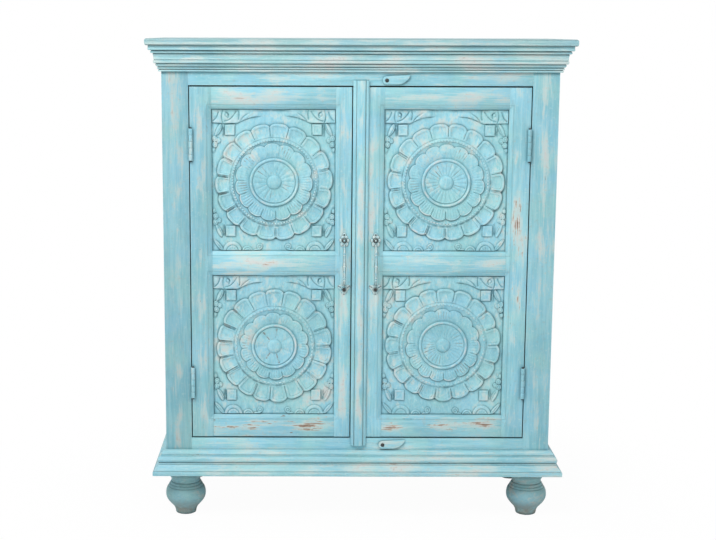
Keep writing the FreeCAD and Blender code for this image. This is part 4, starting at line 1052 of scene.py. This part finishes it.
# Middle of a rosette: the ring, the fluted dish and the boss
def rosette_middle(plan):
    ring = plan["ring"] / MM
    flutes = plan["flutes"]
    rng = np.random.default_rng(plan["seed"] + 300)
    section = MIDDLE_SECTION + tuple((ring + out, up) for out, up in RING_SECTION)
    tint = rng.uniform(0, 1, flutes)

    def carve(turn, share):
        radius = share * section[-1][0]
        h = np.interp(radius, *zip(*section))
        worn = turn + 0.03 * np.sin(turn + plan["seed"])
        s, number = across_petal(worn, flutes, plan["inner_turn"])
        band = smooth(17.0, 21.0, radius) * (1 - smooth(ring - 8.5, ring - 5.5, radius))
        h -= plan["flute_depth"] * band * np.abs(s) ** 2.5
        h += 0.5 * plan["flute_depth"] * band * (1 - s * s) * smooth(20, 36, radius)
        dents = 0.5 + 0.5 * np.sin(5 * turn + 0.5 * radius)
        h -= 0.5 * np.exp(-((radius - 8) / 2.0) ** 2) * dents
        crest = np.exp(-((radius - ring) / 1.8) ** 2) * 0.8
        mark = band * np.exp(-((1 - np.abs(s)) / 0.3) ** 2)
        mark *= np.where(tint[number] > 0.86, 0.55, 0.0)
        radius = radius + 0.5 * np.sin(2 * turn + plan["seed"]) * share
        return radius, h, np.clip(crest, 0, 1), mark, np.zeros_like(h)

    return carve


class CABINET_OT_carved_panels(bpy.types.Operator):
    """Carve the boards, corner sprays and rosettes of the four door panels"""
    bl_idname = "cabinet.carved_panels"
    bl_label = "Carve panels"

    def execute(self, context):
        carving = context.scene.cabinet_carving
        for key, plan in PANELS.items():
            paint = worn_paint("carved_paint_" + key, "carved", plan["seed"] * 0.1, rub=0.30,
                               chips=0.10, shade_and_grime=0.90, tone=plan["tone"], carved=True)
            board = carved_board(key, plan, carving.spray_height)
            tidy(board)
            shade(board, 60)
            finish(board, plan["body"], "turquoise_paint", paint, key + "_panel")
            parts = (
                ("outer_petals", 52, 720, outer_petals(plan, carving.outer_height / MM)),
                ("inner_petals", 38, 720, inner_petals(plan, carving.inner_height / MM)),
                ("bead_string", 12, plan["beads"] * 8, bead_string(plan)),
                ("rosette_middle", 60, 360, rosette_middle(plan)),
            )
            centre = (plan["x"] + plan["dx"], plan["z"] + plan["dz"])
            for name, rings, steps, carve in parts:
                piece = turned_ring(key + "_" + name, centre, PANEL_FACE, rings, steps, carve)
                shade(piece, 60)
                finish(piece, plan["body"], "turquoise_paint", paint)
        return {"FINISHED"}


# Painted shade lines along the bevel's arris round the panels that a door member borders on
def arris_shade_lines(side, member):
    keys = {"top_rail": ("upper",), "bottom_rail": ("lower",)}.get(member, ("upper", "lower"))
    found = []
    for key in keys:
        plan = PANELS[side + "_" + key]
        found.append((plan["x"], plan["z"], PANEL_HALF_WIDTH + BEVEL_WIDTH,
                      plan["half"] + BEVEL_WIDTH))
    return tuple(found)


# Grain, rub, chips and tone of each member of a door's frame
DOOR_WEAR = {
    "left_hinge_stile": ("up", 0.34, 0.50, 0.90), "left_meeting_stile": ("up", 0.56, 0.45, 1.02),
    "left_top_rail": ("across", 0.78, 0.50, 1.00), "left_mid_rail": ("across", 0.80, 0.55, 1.06),
    "left_bottom_rail": ("across", 0.72, 1.60, 0.96),
    "right_hinge_stile": ("up", 0.46, 1.10, 1.01), "right_meeting_stile": ("up", 0.58, 0.45, 1.04),
    "right_top_rail": ("across", 0.78, 0.50, 1.02), "right_mid_rail": ("across", 0.80, 0.55, 1.08),
    "right_bottom_rail": ("across", 0.66, 1.30, 0.96),
}


# The cover strip: its middle, half the width that is rubbed, and where its two grooves run, as
# the middle height, half the width between them and half the height of a tall rectangle. The
# grooves are fine cuts darkened with painted shade
STRIP_MIDDLE = 0.002
STRIP_RUB_HALF = 0.0125
STRIP_GROOVES = (0.63, 0.0107, 0.6)


class CABINET_OT_door_frames(bpy.types.Operator):
    """Ease and paint the stiles and rails of both doors and the cover strip"""
    bl_idname = "cabinet.door_frames"
    bl_label = "Dress door frames"

    def execute(self, context):
        for seed, (node, (grain, rub, chips, tone)) in enumerate(DOOR_WEAR.items()):
            side, name = node.split("_", 1)
            shade_and_grime = 0.35 if name == "meeting_stile" else 0.6
            paint = worn_paint(node + "_paint", grain, seed + 3, rub=rub, chips=chips, edge=0.38,
                               shade_and_grime=shade_and_grime, tone=tone, band=band_of(node, grain),
                               # The panels' arris lines are painted shade
                               shaded_cuts=arris_shade_lines(side, name), cut_shade=0.16)
            eased_copy(node, side + "_door", "turquoise_paint", paint)
        # The strip's two grooves are fine cuts darkened with painted shade
        paint = worn_paint("cover_strip_paint", "up", 31, rub=0.46, chips=0.35, edge=0.5,
                           shade_and_grime=0.45, tone=1.04,
                           band=((0, STRIP_MIDDLE, STRIP_RUB_HALF, 0.15, 0.075, -0.085),),
                           shaded_cuts=((STRIP_MIDDLE, *STRIP_GROOVES),), cut_shade=0.75)
        eased_copy("cover_strip", "right_door", "turquoise_paint", paint, ease=0.0008)
        return {"FINISHED"}


# Grain, rub and tone of the painted pieces of the case, and the grain of the bare ones
CASE_WEAR = {
    "front_left_post": ("up", 0.36, 0.81), "front_right_post": ("up", 0.48, 0.95),
    "rear_left_post": ("up", 0.50, 0.95), "rear_right_post": ("up", 0.50, 0.95),
    "left_side_panels": ("up", 0.40, 0.96), "right_side_panels": ("up", 0.40, 0.96),
    "front_top_rail": ("across", 0.62, 1.01), "front_bottom_rail": ("across", 0.52, 1.05),
    "left_side_rails": ("deep", 0.55, 0.98), "right_side_rails": ("deep", 0.55, 0.98),
}
BARE_PIECES = {"back_boards": "up", "bottom_board": "across", "lower_shelf": "across",
               "upper_shelf": "across", "shelf_cleats": "deep", "rear_rails": "across",
               "foot_blocks": "across"}

# Half of a cut line's length where it runs right across, how far the painted shade lines of the
# top board's edge lie from its faces, and how many boards the back has
ALL_ACROSS = 1.0
TOP_BOARD_SHADE_LINE = 0.0012
BACK_BOARDS = 6


class CABINET_OT_case(bpy.types.Operator):
    """Ease and paint the case's posts, rails, boards and panels"""
    bl_idname = "cabinet.case"
    bl_label = "Dress case"

    def execute(self, context):
        for seed, (name, (grain, rub, tone)) in enumerate(CASE_WEAR.items()):
            band = band_of(name, grain) if name.startswith(("front", "rear")) else ()
            paint = worn_paint(name + "_paint", grain, 41 + seed, rub=rub, chips=0.45, edge=0.4,
                               tone=tone, band=band)
            eased_copy(name, "case", "turquoise_paint", paint)
        # Painted shade lines along the top board's edge, just inside its top and bottom faces
        low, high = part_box("top_board")
        half = (high[2] - low[2]) / 2
        shaded_cuts = ((0, low[2] + half, ALL_ACROSS, half - TOP_BOARD_SHADE_LINE),)
        paint = worn_paint("top_board_paint", "across", 61, rub=0.90, chips=0.4, edge=0.5,
                           tone=0.95, shaded_cuts=shaded_cuts, cut_shade=0.6, dull=0.35)
        eased_copy("top_board", "case", "turquoise_paint", paint, ease=0.0)
        for seed, (name, grain) in enumerate(BARE_PIECES.items()):
            low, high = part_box(name)
            boards = (low[0], (high[0] - low[0]) / BACK_BOARDS) if name == "back_boards" else None
            wood = bare_wood(name + "_wood", grain, seed + 1, boards)
            eased_copy(name, "case", "bare_wood", wood, ease=0.0008)
        return {"FINISHED"}


# Sections of the mouldings, by millimetres out from the case and up from their foot, and the
# height of the painted shade line along the plinth's lowest step
CORNICE_SECTION = (
    (0, 0), (5.2, 0), (6.6, 0.6), (7.0, 3.0), (6.7, 4.0), (5.0, 4.5), (5.0, 5.3), (7.8, 5.9),
    (8.8, 7.4), (8.7, 8.9), (7.8, 9.9), (6.6, 10.2), (6.6, 11.1), (9.2, 11.6), (11.2, 13.3),
    (12.3, 15.6), (12.7, 17.0), (11.0, 17.5), (11.0, 18.7), (15.0, 19.2), (16.6, 20.6),
    (17.1, 23.4), (16.9, 25.8), (15.4, 26.5), (15.4, 27.6), (16.4, 28.1), (16.1, 31.0),
    (16.3, 35.0), (17.2, 38.6), (18.0, 40.2), (16.6, 40.8), (16.6, 42.0), (20.6, 42.5),
    (22.2, 43.4), (22.7, 45.8), (22.5, 47.4), (20.8, 48.0), (20.8, 49.2), (26.6, 49.8),
    (27.9, 51.0), (27.9, 54.0), (27.4, 57.0), (27.9, 59.8), (27.2, 60.5), (0, 60.5))
PLINTH_SECTION = (
    (0, 1.8), (28.8, 1.8), (30.9, 2.6), (31.7, 4.8), (31.6, 10.6), (31.1, 13.0), (29.4, 13.5),
    (29.0, 14.8), (27.2, 17.4), (24.5, 20.0), (21.8, 23.0), (19.7, 25.6), (18.8, 27.0),
    (17.2, 27.5), (17.2, 28.5), (18.0, 29.0), (17.7, 31.0), (15.2, 31.7), (15.2, 33.4),
    (18.4, 34.2), (19.7, 36.0), (20.4, 38.5), (20.5, 41.0), (19.8, 43.8), (18.2, 46.2),
    (16.6, 47.2), (12.6, 47.6), (12.4, 48.4), (12.6, 50.4), (11.6, 50.8), (11.6, 51.6),
    (12.3, 52.2), (11.9, 54.2), (10.4, 56.8), (7.6, 59.2), (3.6, 61.0), (0, 61.6))
PLINTH_SHADE_LINE = 13.8

# The case that the mouldings run round, and the hairline gap left in a mitre
CASE_HALF = 0.467
CASE_FRONT = -0.178
CASE_BACK = 0.213
MITRE_GAP = 0.0001

# Cuts along each length of moulding, for the hand's unevenness
RUN_CUTS = 28


# One length of moulding, its section swept from start to end, mitred where they meet
def swept_moulding(name, section, foot, start, end, seed):
    piece = primitive("grid", name, x_subdivisions=RUN_CUTS, y_subdivisions=len(section), size=1)
    points = []
    for number in range(len(section) + 1):
        out, up = section[number % len(section)]
        out, up = out * MM, up * MM
        for step in range(RUN_CUTS + 1):
            share = step / RUN_CUTS
            (ax, ay), (bx, by) = start(out), end(out)
            hand = 0.00025 * math.sin(seed + share * 17 + number) * math.sin(math.pi * share)
            hand *= min(1.0, out / 0.004)
            points.append((ax + (bx - ax) * share, ay + (by - ay) * share, foot + up + hand))
    piece.data.vertices.foreach_set("co", np.array(points, dtype=np.float32).ravel())
    close_sweep(piece, 32)
    return piece


class CABINET_OT_mouldings(bpy.types.Operator):
    """Run the cornice and the plinth in three mitred lengths each, and paint them"""
    bl_idname = "cabinet.mouldings"
    bl_label = "Run mouldings"

    def execute(self, context):
        def front_end(side):
            return lambda out: (side * (CASE_HALF + out - MITRE_GAP), CASE_FRONT - out)

        def side_end(side):
            return lambda out: (side * (CASE_HALF + out), CASE_FRONT - out + MITRE_GAP)

        def back_end(side):
            return lambda out: (side * (CASE_HALF + out), CASE_BACK)

        for seed, (name, section, rub, tone, shade_and_grime, dull) in enumerate((
                ("cornice", CORNICE_SECTION, 0.84, 1.05, 0.9, 0.28),
                ("plinth", PLINTH_SECTION, 0.48, 1.02, 0.5, 0.12))):
            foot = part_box(name + "_front")[0][2]
            # A painted shade line along the plinth's lowest step
            shaded_cuts = ((0, foot + PLINTH_SHADE_LINE * MM, ALL_ACROSS, 0.0),) if name == "plinth" else ()
            lengths = ((name + "_front", front_end(-1), front_end(1), "across"),
                       (name + "_left", back_end(-1), side_end(-1), "deep"),
                       (name + "_right", side_end(1), back_end(1), "deep"))
            for turn, (node, start, end, grain) in enumerate(lengths):
                paint = worn_paint(node + "_paint", grain, 71 + seed * 5 + turn, rub=rub,
                                   chips=0.45, edge=0.5, shade_and_grime=shade_and_grime, tone=tone, dull=dull,
                                   shaded_cuts=shaded_cuts, cut_shade=0.38)
                piece = swept_moulding(node + "_run", section, foot, start, end, seed + turn)
                finish(piece, "case", "turquoise_paint", paint, node)
        return {"FINISHED"}


# Section of a foot, by millimetres out from its middle and up from the floor
FOOT_SECTION = (
    (0, 0), (23.4, 0), (24.6, 0.7), (25.2, 2.6), (25.8, 6.0), (26.6, 9.4), (27.9, 12.8),
    (29.7, 16.1), (31.2, 18.4), (31.4, 19.2), (32.6, 20.0), (35.2, 22.6), (37.8, 25.6),
    (40.8, 28.9), (43.8, 32.8), (46.4, 37.2), (48.4, 42.0), (49.2, 46.0), (49.5, 50.0),
    (49.3, 54.5), (48.9, 57.5), (48.0, 61.0), (46.8, 64.5), (45.2, 67.4), (44.2, 68.6),
    (43.2, 69.0), (43.0, 70.0), (43.0, 70.8), (41.8, 73.2), (40.6, 74.8), (39.6, 75.2),
    (39.4, 76.2), (39.4, 77.2), (38.2, 79.4), (37.0, 81.0), (36.1, 81.5), (36.0, 82.6),
    (36.1, 83.4), (35.6, 86.0), (35.6, 88.4), (36.6, 91.2), (38.6, 92.8), (39.4, 94.8),
    (39.4, 100.0), (38.4, 102.2), (36.9, 103.6), (36.9, 115.0), (12.0, 115.0), (12.0, 135.0),
    (0, 135.0))


class CABINET_OT_feet(bpy.types.Operator):
    """Turn the four feet and paint them dark"""
    bl_idname = "cabinet.feet"
    bl_label = "Turn feet"

    def execute(self, context):
        for seed, name in enumerate(("front_left_foot", "front_right_foot", "rear_left_foot",
                                     "rear_right_foot")):
            paint = worn_paint(name + "_paint", "turned", 81 + seed, rub=0.42, chips=0.75, edge=0.3,
                               shade_and_grime=1.0, tone=0.78, dull=0.12)
            low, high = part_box(name)
            x, y = (low[0] + high[0]) / 2, (low[1] + high[1]) / 2
            foot = primitive("circle", name + "_turned", vertices=len(FOOT_SECTION), radius=0.05)
            mesh = foot.data
            for vertex, (out, up) in zip(mesh.vertices, FOOT_SECTION):
                vertex.co = (x + out * MM, y, up * MM)
            choose(foot)
            bpy.ops.object.mode_set(mode="EDIT")
            bpy.ops.mesh.select_all(action="SELECT")
            bpy.ops.mesh.spin(steps=72, angle=2 * math.pi, center=(x, y, 0), axis=(0, 0, 1))
            bpy.ops.mesh.select_all(action="SELECT")
            bpy.ops.mesh.remove_doubles(threshold=SPIN_WELD)
            bpy.ops.mesh.delete_loose()
            bpy.ops.mesh.select_all(action="SELECT")
            bpy.ops.mesh.normals_make_consistent(inside=False)
            bpy.ops.object.mode_set(mode="OBJECT")
            drop_inner_faces(foot, x, y)
            shade(foot, 35)
            finish(foot, "case", "worn_dark_paint", paint, name)
        return {"FINISHED"}


# Takes away what a closed section leaves along the axis that it was spun about
def drop_inner_faces(piece, x, y):
    mesh = bmesh.new()
    mesh.from_mesh(piece.data)
    inner = [face for face in mesh.faces
             if all(math.hypot(v.co.x - x, v.co.y - y) < ON_AXIS for v in face.verts)]
    bmesh.ops.delete(mesh, geom=inner, context="FACES")
    axis = [edge for edge in mesh.edges if not edge.link_faces]
    bmesh.ops.delete(mesh, geom=axis, context="EDGES")
    bmesh.ops.recalc_face_normals(mesh, faces=mesh.faces)
    mesh.to_mesh(piece.data)
    mesh.free()


# Plates of the pulls, in millimetres: their thinnest metal, the radius of the domed screw and
# that of the hollow in the fleur
THIN_METAL = 0.25
SCREW_DOME = 4.9
FLEUR_CUP = 3.6


# What a plate hands to its ring: radii, heights, worn crests, no marks, and painted shade with
# grime
def plate_marks(radius, h, lobes, share, shade_and_grime):
    crest = 0.5 * lobes * smooth(0.6, 0.8, share)
    return radius, np.maximum(h, THIN_METAL), crest, np.zeros_like(h), shade_and_grime


# Top plate of a pull: a rosette of lobes drawn out downwards, with a domed screw
def rosette_plate(turn, share):
    lobes = np.abs(np.sin(3 * turn)) ** 0.7
    down = np.clip(-np.cos(turn), 0, 1)
    edge = 9.4 + 3.4 * lobes + 4.6 * down ** 2
    radius = edge * share
    h = 3.4 * np.sqrt(np.clip(1 - share ** 5, 0, 1))
    h *= 0.62 + 0.38 * lobes * smooth(0.25, 0.6, share)
    ditch = 0.9 * np.exp(-((radius - 5.6) / 0.9) ** 2)
    dome = 3.0 + 3.4 * np.sqrt(np.clip(1 - (radius / SCREW_DOME) ** 2, 0, 1))
    h = np.where(radius < SCREW_DOME, dome, h - ditch)
    # Painted shade in the ditch round the screw and in the clefts between the lobes
    shade_and_grime = 0.6 * np.exp(-((radius - 5.4) / 0.7) ** 2)
    shade_and_grime += 0.8 * (1 - lobes) ** 3 * smooth(6.5, 9.0, radius)
    return plate_marks(radius, h, lobes, share, shade_and_grime)


# Bottom plate: three pointed lobes, one down and two up
def fleur_plate(turn, share):
    lobes = (0.5 + 0.5 * np.cos(3 * (turn - math.pi))) ** 1.6
    down = np.clip(-np.cos(turn), 0, 1)
    edge = 9.4 + lobes * (7.6 - 3.2 * down)
    radius = edge * share
    h = 3.4 * np.sqrt(np.clip(1 - share ** 4, 0, 1)) * (0.70 + 0.30 * lobes)
    h -= 1.1 * np.exp(-((radius - 5.2) / 0.9) ** 2)
    h -= 0.7 * smooth(6.5, 9.0, radius) * np.exp(-((1 - lobes) / 0.12) ** 2)
    cup = 1.2 - 0.9 * np.cos(radius / FLEUR_CUP * math.pi / 2)
    h = np.where(radius < FLEUR_CUP, cup, h)
    # Painted shade in the hollow and in the clefts between the lobes
    shade_and_grime = (radius < 3.5) * 1.0
    shade_and_grime += 0.8 * smooth(6.5, 9.0, radius) * np.exp(-((1 - lobes) / 0.05) ** 2)
    return plate_marks(radius, h, lobes, share, shade_and_grime)


# Small pierced finial at the top of a pull
def finial_plate(turn, share):
    radius = 5.2 * share
    h = 2.8 * np.sqrt(np.clip(1 - share ** 4, 0, 1)) - 1.9 * (1 - smooth(1.2, 2.4, radius))
    # Painted shade in the finial's hole
    return plate_marks(radius, h, 0.0, share, 1.0 * (radius < 1.9))


# Facets round a pull's bar
ROD_FACETS = 20


# A rod along a bent middle line, with its own radius at every point
def bent_rod(name, middle, radii):
    along = len(middle) - 1
    rod = primitive("grid", name, x_subdivisions=ROD_FACETS, y_subdivisions=along, size=1)
    ways = np.gradient(middle, axis=0)
    ways /= np.linalg.norm(ways, axis=1)[:, None]
    side = np.tile((1.0, 0.0, 0.0), (along + 1, 1))
    other = np.cross(ways, side)
    turn = np.linspace(0, 2 * math.pi, ROD_FACETS + 1)
    out = (np.cos(turn)[None, :, None] * side[:, None, :]
           + np.sin(turn)[None, :, None] * other[:, None, :])
    points = middle[:, None, :] + radii[:, None, None] * out
    rod.data.vertices.foreach_set("co", points.astype(np.float32).ravel())
    close_sweep(rod, 40)
    return rod


# Plates of a pull: carving, height on the door, rings and steps round
PULL_PLATES = {"rosette": (rosette_plate, 0.6945, 26, 96), "fleur": (fleur_plate, 0.5755, 26, 96),
               "finial": (finial_plate, 0.7075, 16, 40)}
PULL_SIDES = {"left": -0.0355, "right": 0.0395}

# Bar of a pull: its top and its length, the share of it that each bend takes, how far its ends
# and its middle stand out, its thinnest radius and its knops
BAR_TOP, BAR_LENGTH, BAR_BEND = 0.6825, 0.0950, 0.13
BAR_ROOT, BAR_REACH = 0.0015, 0.0245
BAR_RADIUS = 0.0027
KNOPS = (0.15, 0.21, 0.79, 0.85, 0.5)


class CABINET_OT_pulls(bpy.types.Operator):
    """Cast the two pulls: rosette, fleur, finial and the bar between them"""
    bl_idname = "cabinet.pulls"
    bl_label = "Cast pulls"

    def execute(self, context):
        iron = painted_iron("painted_iron", 5.0)
        for side, x in PULL_SIDES.items():
            pull, body = side + "_pull", side + "_door"
            for name, (carve, z, rings, steps) in PULL_PLATES.items():
                piece = turned_ring(pull + "_" + name, (x, z), DOOR_FACE, rings, steps, carve,
                                    back=-0.05)
                shade(piece, 45)
                finish(piece, body, "painted_iron", iron, *((pull,) if name == "rosette" else ()))
            share = np.linspace(0, 1, 73)
            bend = np.clip(np.minimum(share, 1 - share) / BAR_BEND, 0, 1)
            lift = np.clip(np.sin(bend * math.pi / 2), 0, 1)
            middle = np.stack([np.full_like(share, x), DOOR_FACE - BAR_ROOT - BAR_REACH * lift,
                               BAR_TOP - share * BAR_LENGTH], axis=-1)
            radii = BAR_RADIUS + 0.0013 * np.exp(-((share - 0.5) / 0.20) ** 2)
            for knop in KNOPS:
                radii += 0.0012 * np.exp(-((share - knop) / 0.012) ** 2)
            bar = bent_rod(pull + "_bar", middle, radii)
            finish(bar, body, "painted_iron", iron)
        return {"FINISHED"}


class CABINET_OT_ironwork(bpy.types.Operator):
    """Finish the latches, hinges and screws"""
    bl_idname = "cabinet.ironwork"
    bl_label = "Dress ironwork"

    def execute(self, context):
        lever = worn_paint("lever_paint", "across", 95, rub=0.55, chips=0.3, edge=0.4,
                           shade_and_grime=1.0, tone=1.04)
        for name in ("upper_latch", "lower_latch"):
            eased_copy(name, name, "painted_iron", lever, ease=0.0003, keep=0.3)
        hinge = worn_paint("hinge_paint", "up", 91, rub=0.45, chips=0.4, edge=0.4,
                           shade_and_grime=1.0, tone=0.97)
        for name, body in (("frame_hinge_leaves", "case"), ("left_door_hinge_leaves", "left_door"),
                           ("right_door_hinge_leaves", "right_door")):
            eased_copy(name, body, "painted_hinge", hinge, ease=0.0002, keep=0.3)
        steel = dark_steel("dark_steel")
        eased_copy("hinge_pins", "case", "dark_steel", steel, ease=0.0002, keep=0.3)
        for name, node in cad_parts.items():
            if "screw" in name:
                node.data.materials.clear()
                node.data.materials.append(steel)
        return {"FINISHED"}


# Lamps: place, width and height, the setting that holds the power, and what they point at
LAMPS = {
    "key_light": ((-1.1, -2.2, 3.2), (1.8, 1.2), "key_power", (0, 0, 0.55)),
    "left_light": ((-3.2, -2.4, 1.5), (1.6, 2.4), "side_power", (0, 0, 0.6)),
    "right_light": ((3.2, -2.4, 1.5), (1.6, 2.4), "side_power", (0, 0, 0.6)),
}

# The camera as fitted to the photograph's straight edges: place, turn in degrees, shift, sensor
CAMERA_PLACE = (-0.1272, -3.4842, 1.1863)
CAMERA_TURN = (80.3187, -0.1829, -0.0456)
CAMERA_SHIFT = 0.0703
SENSOR_WIDTH = 36

# The floor glows white from the second of these distances outwards, a little less nearer in
GLOW_REACH = (0.45, 1.10)
GLOW_SHARE = (0.97, 1.0)


class CABINET_OT_stage(bpy.types.Operator):
    """Floor, soft studio light and the camera"""
    bl_idname = "cabinet.stage"
    bl_label = "Set stage"

    def execute(self, context):
        stage = context.scene.cabinet_stage
        floor = primitive("plane", "floor", size=24, location=(0, 2, 0))
        settle(floor)
        n = Nodes("floor_white")
        n.set(n.surface, "Base Color", (0.90, 0.90, 0.90, 1))
        n.set(n.surface, "Roughness", 0.9)
        grain = n.noise(n.place((1, 1, 1), (0, 0, 0)), 30.0, 2.0)
        n.bump([(grain, 0.05, 0.001)])
        glow = n.add("Emission", {"Strength": 1.0})
        path = n.add("LightPath")
        blend = n.add("MixShader")
        split = n.add("SeparateXYZ", {"Vector": n.add("TexCoord").outputs["Object"]})
        reach = n.math("SQRT", n.math("ADD", n.math("POWER", split.outputs[0], 2.0),
                                      n.math("POWER", split.outputs[1], 2.0)))
        clear = n.ramp(reach, *GLOW_REACH, *GLOW_SHARE)
        n.set(blend, 0, n.math("MULTIPLY", path.outputs["Is Camera Ray"], clear))
        n.set(blend, 1, n.surface.outputs[0])
        n.set(blend, 2, glow.outputs[0])
        n.set(n.tree.nodes["Material Output"], "Surface", blend.outputs[0])
        floor.data.materials.append(n.material)

        for name, (place, size, setting, aim) in LAMPS.items():
            lamp = bpy.data.lights.new(name, "AREA")
            lamp.shape = "RECTANGLE"
            lamp.size, lamp.size_y = size
            lamp.energy = getattr(stage, setting)
            thing = bpy.data.objects.new(name, lamp)
            context.scene.collection.objects.link(thing)
            thing.location = place
            thing.rotation_euler = (Vector(aim) - Vector(place)).to_track_quat("-Z", "Y").to_euler()

        world = bpy.data.worlds.new("white_room")
        context.scene.world = world
        world.use_nodes = True
        tree = world.node_tree
        back = tree.nodes["Background"]
        back.inputs["Color"].default_value = (1, 1, 1, 1)
        path = tree.nodes.new("ShaderNodeLightPath")
        seen = tree.nodes.new("ShaderNodeMath")
        seen.operation = "MAXIMUM"
        tree.links.new(path.outputs["Is Camera Ray"], seen.inputs[0])
        tree.links.new(path.outputs["Is Glossy Ray"], seen.inputs[1])
        strength = tree.nodes.new("ShaderNodeMapRange")
        strength.inputs["To Min"].default_value = stage.room
        strength.inputs["To Max"].default_value = 1.0
        tree.links.new(seen.outputs[0], strength.inputs["Value"])
        tree.links.new(strength.outputs["Result"], back.inputs["Strength"])

        camera = bpy.data.cameras.new("camera")
        camera.lens = stage.lens
        camera.sensor_width = SENSOR_WIDTH
        camera.sensor_fit = "HORIZONTAL"
        camera.shift_x = CAMERA_SHIFT
        thing = bpy.data.objects.new("camera", camera)
        context.scene.collection.objects.link(thing)
        thing.location = CAMERA_PLACE
        thing.rotation_mode = "XYZ"
        thing.rotation_euler = [math.radians(angle) for angle in CAMERA_TURN]
        context.scene.camera = thing
        context.scene.view_settings.view_transform = "Standard"
        return {"FINISHED"}


OPERATORS = (CABINET_OT_case, CABINET_OT_mouldings, CABINET_OT_feet, CABINET_OT_door_frames,
             CABINET_OT_carved_panels, CABINET_OT_pulls, CABINET_OT_ironwork, CABINET_OT_stage)


class CABINET_PT_tools(bpy.types.Panel):
    """Steps that dress the cabinet, in order"""
    bl_idname = "CABINET_PT_tools"
    bl_label = "Low Cabinet"
    bl_space_type = "VIEW_3D"
    bl_region_type = "UI"
    bl_category = "Cabinet"

    def draw(self, context):
        for group in ("cabinet_paint", "cabinet_carving", "cabinet_stage"):
            settings = getattr(context.scene, group)
            box = self.layout.box()
            for key in settings.__annotations__:
                box.prop(settings, key)
        for operator in OPERATORS:
            self.layout.operator(operator.bl_idname)


GROUPS = {"cabinet_paint": CabinetPaint, "cabinet_carving": CabinetCarving,
          "cabinet_stage": CabinetStage}


def register():
    for name, group in GROUPS.items():
        bpy.utils.register_class(group)
        setattr(bpy.types.Scene, name, bpy.props.PointerProperty(type=group))
    for kind in OPERATORS + (CABINET_PT_tools,):
        bpy.utils.register_class(kind)


def unregister():
    for kind in (CABINET_PT_tools,) + OPERATORS[::-1]:
        bpy.utils.unregister_class(kind)
    for name, group in GROUPS.items():
        delattr(bpy.types.Scene, name)
        bpy.utils.unregister_class(group)


def main():
    register()
    bpy.ops.cabinet.case()
    bpy.ops.cabinet.mouldings()
    bpy.ops.cabinet.feet()
    bpy.ops.cabinet.door_frames()
    bpy.ops.cabinet.carved_panels()
    bpy.ops.cabinet.pulls()
    bpy.ops.cabinet.ironwork()
    bpy.ops.cabinet.stage()
    deselect()


if __name__ == "__main__":
    main()
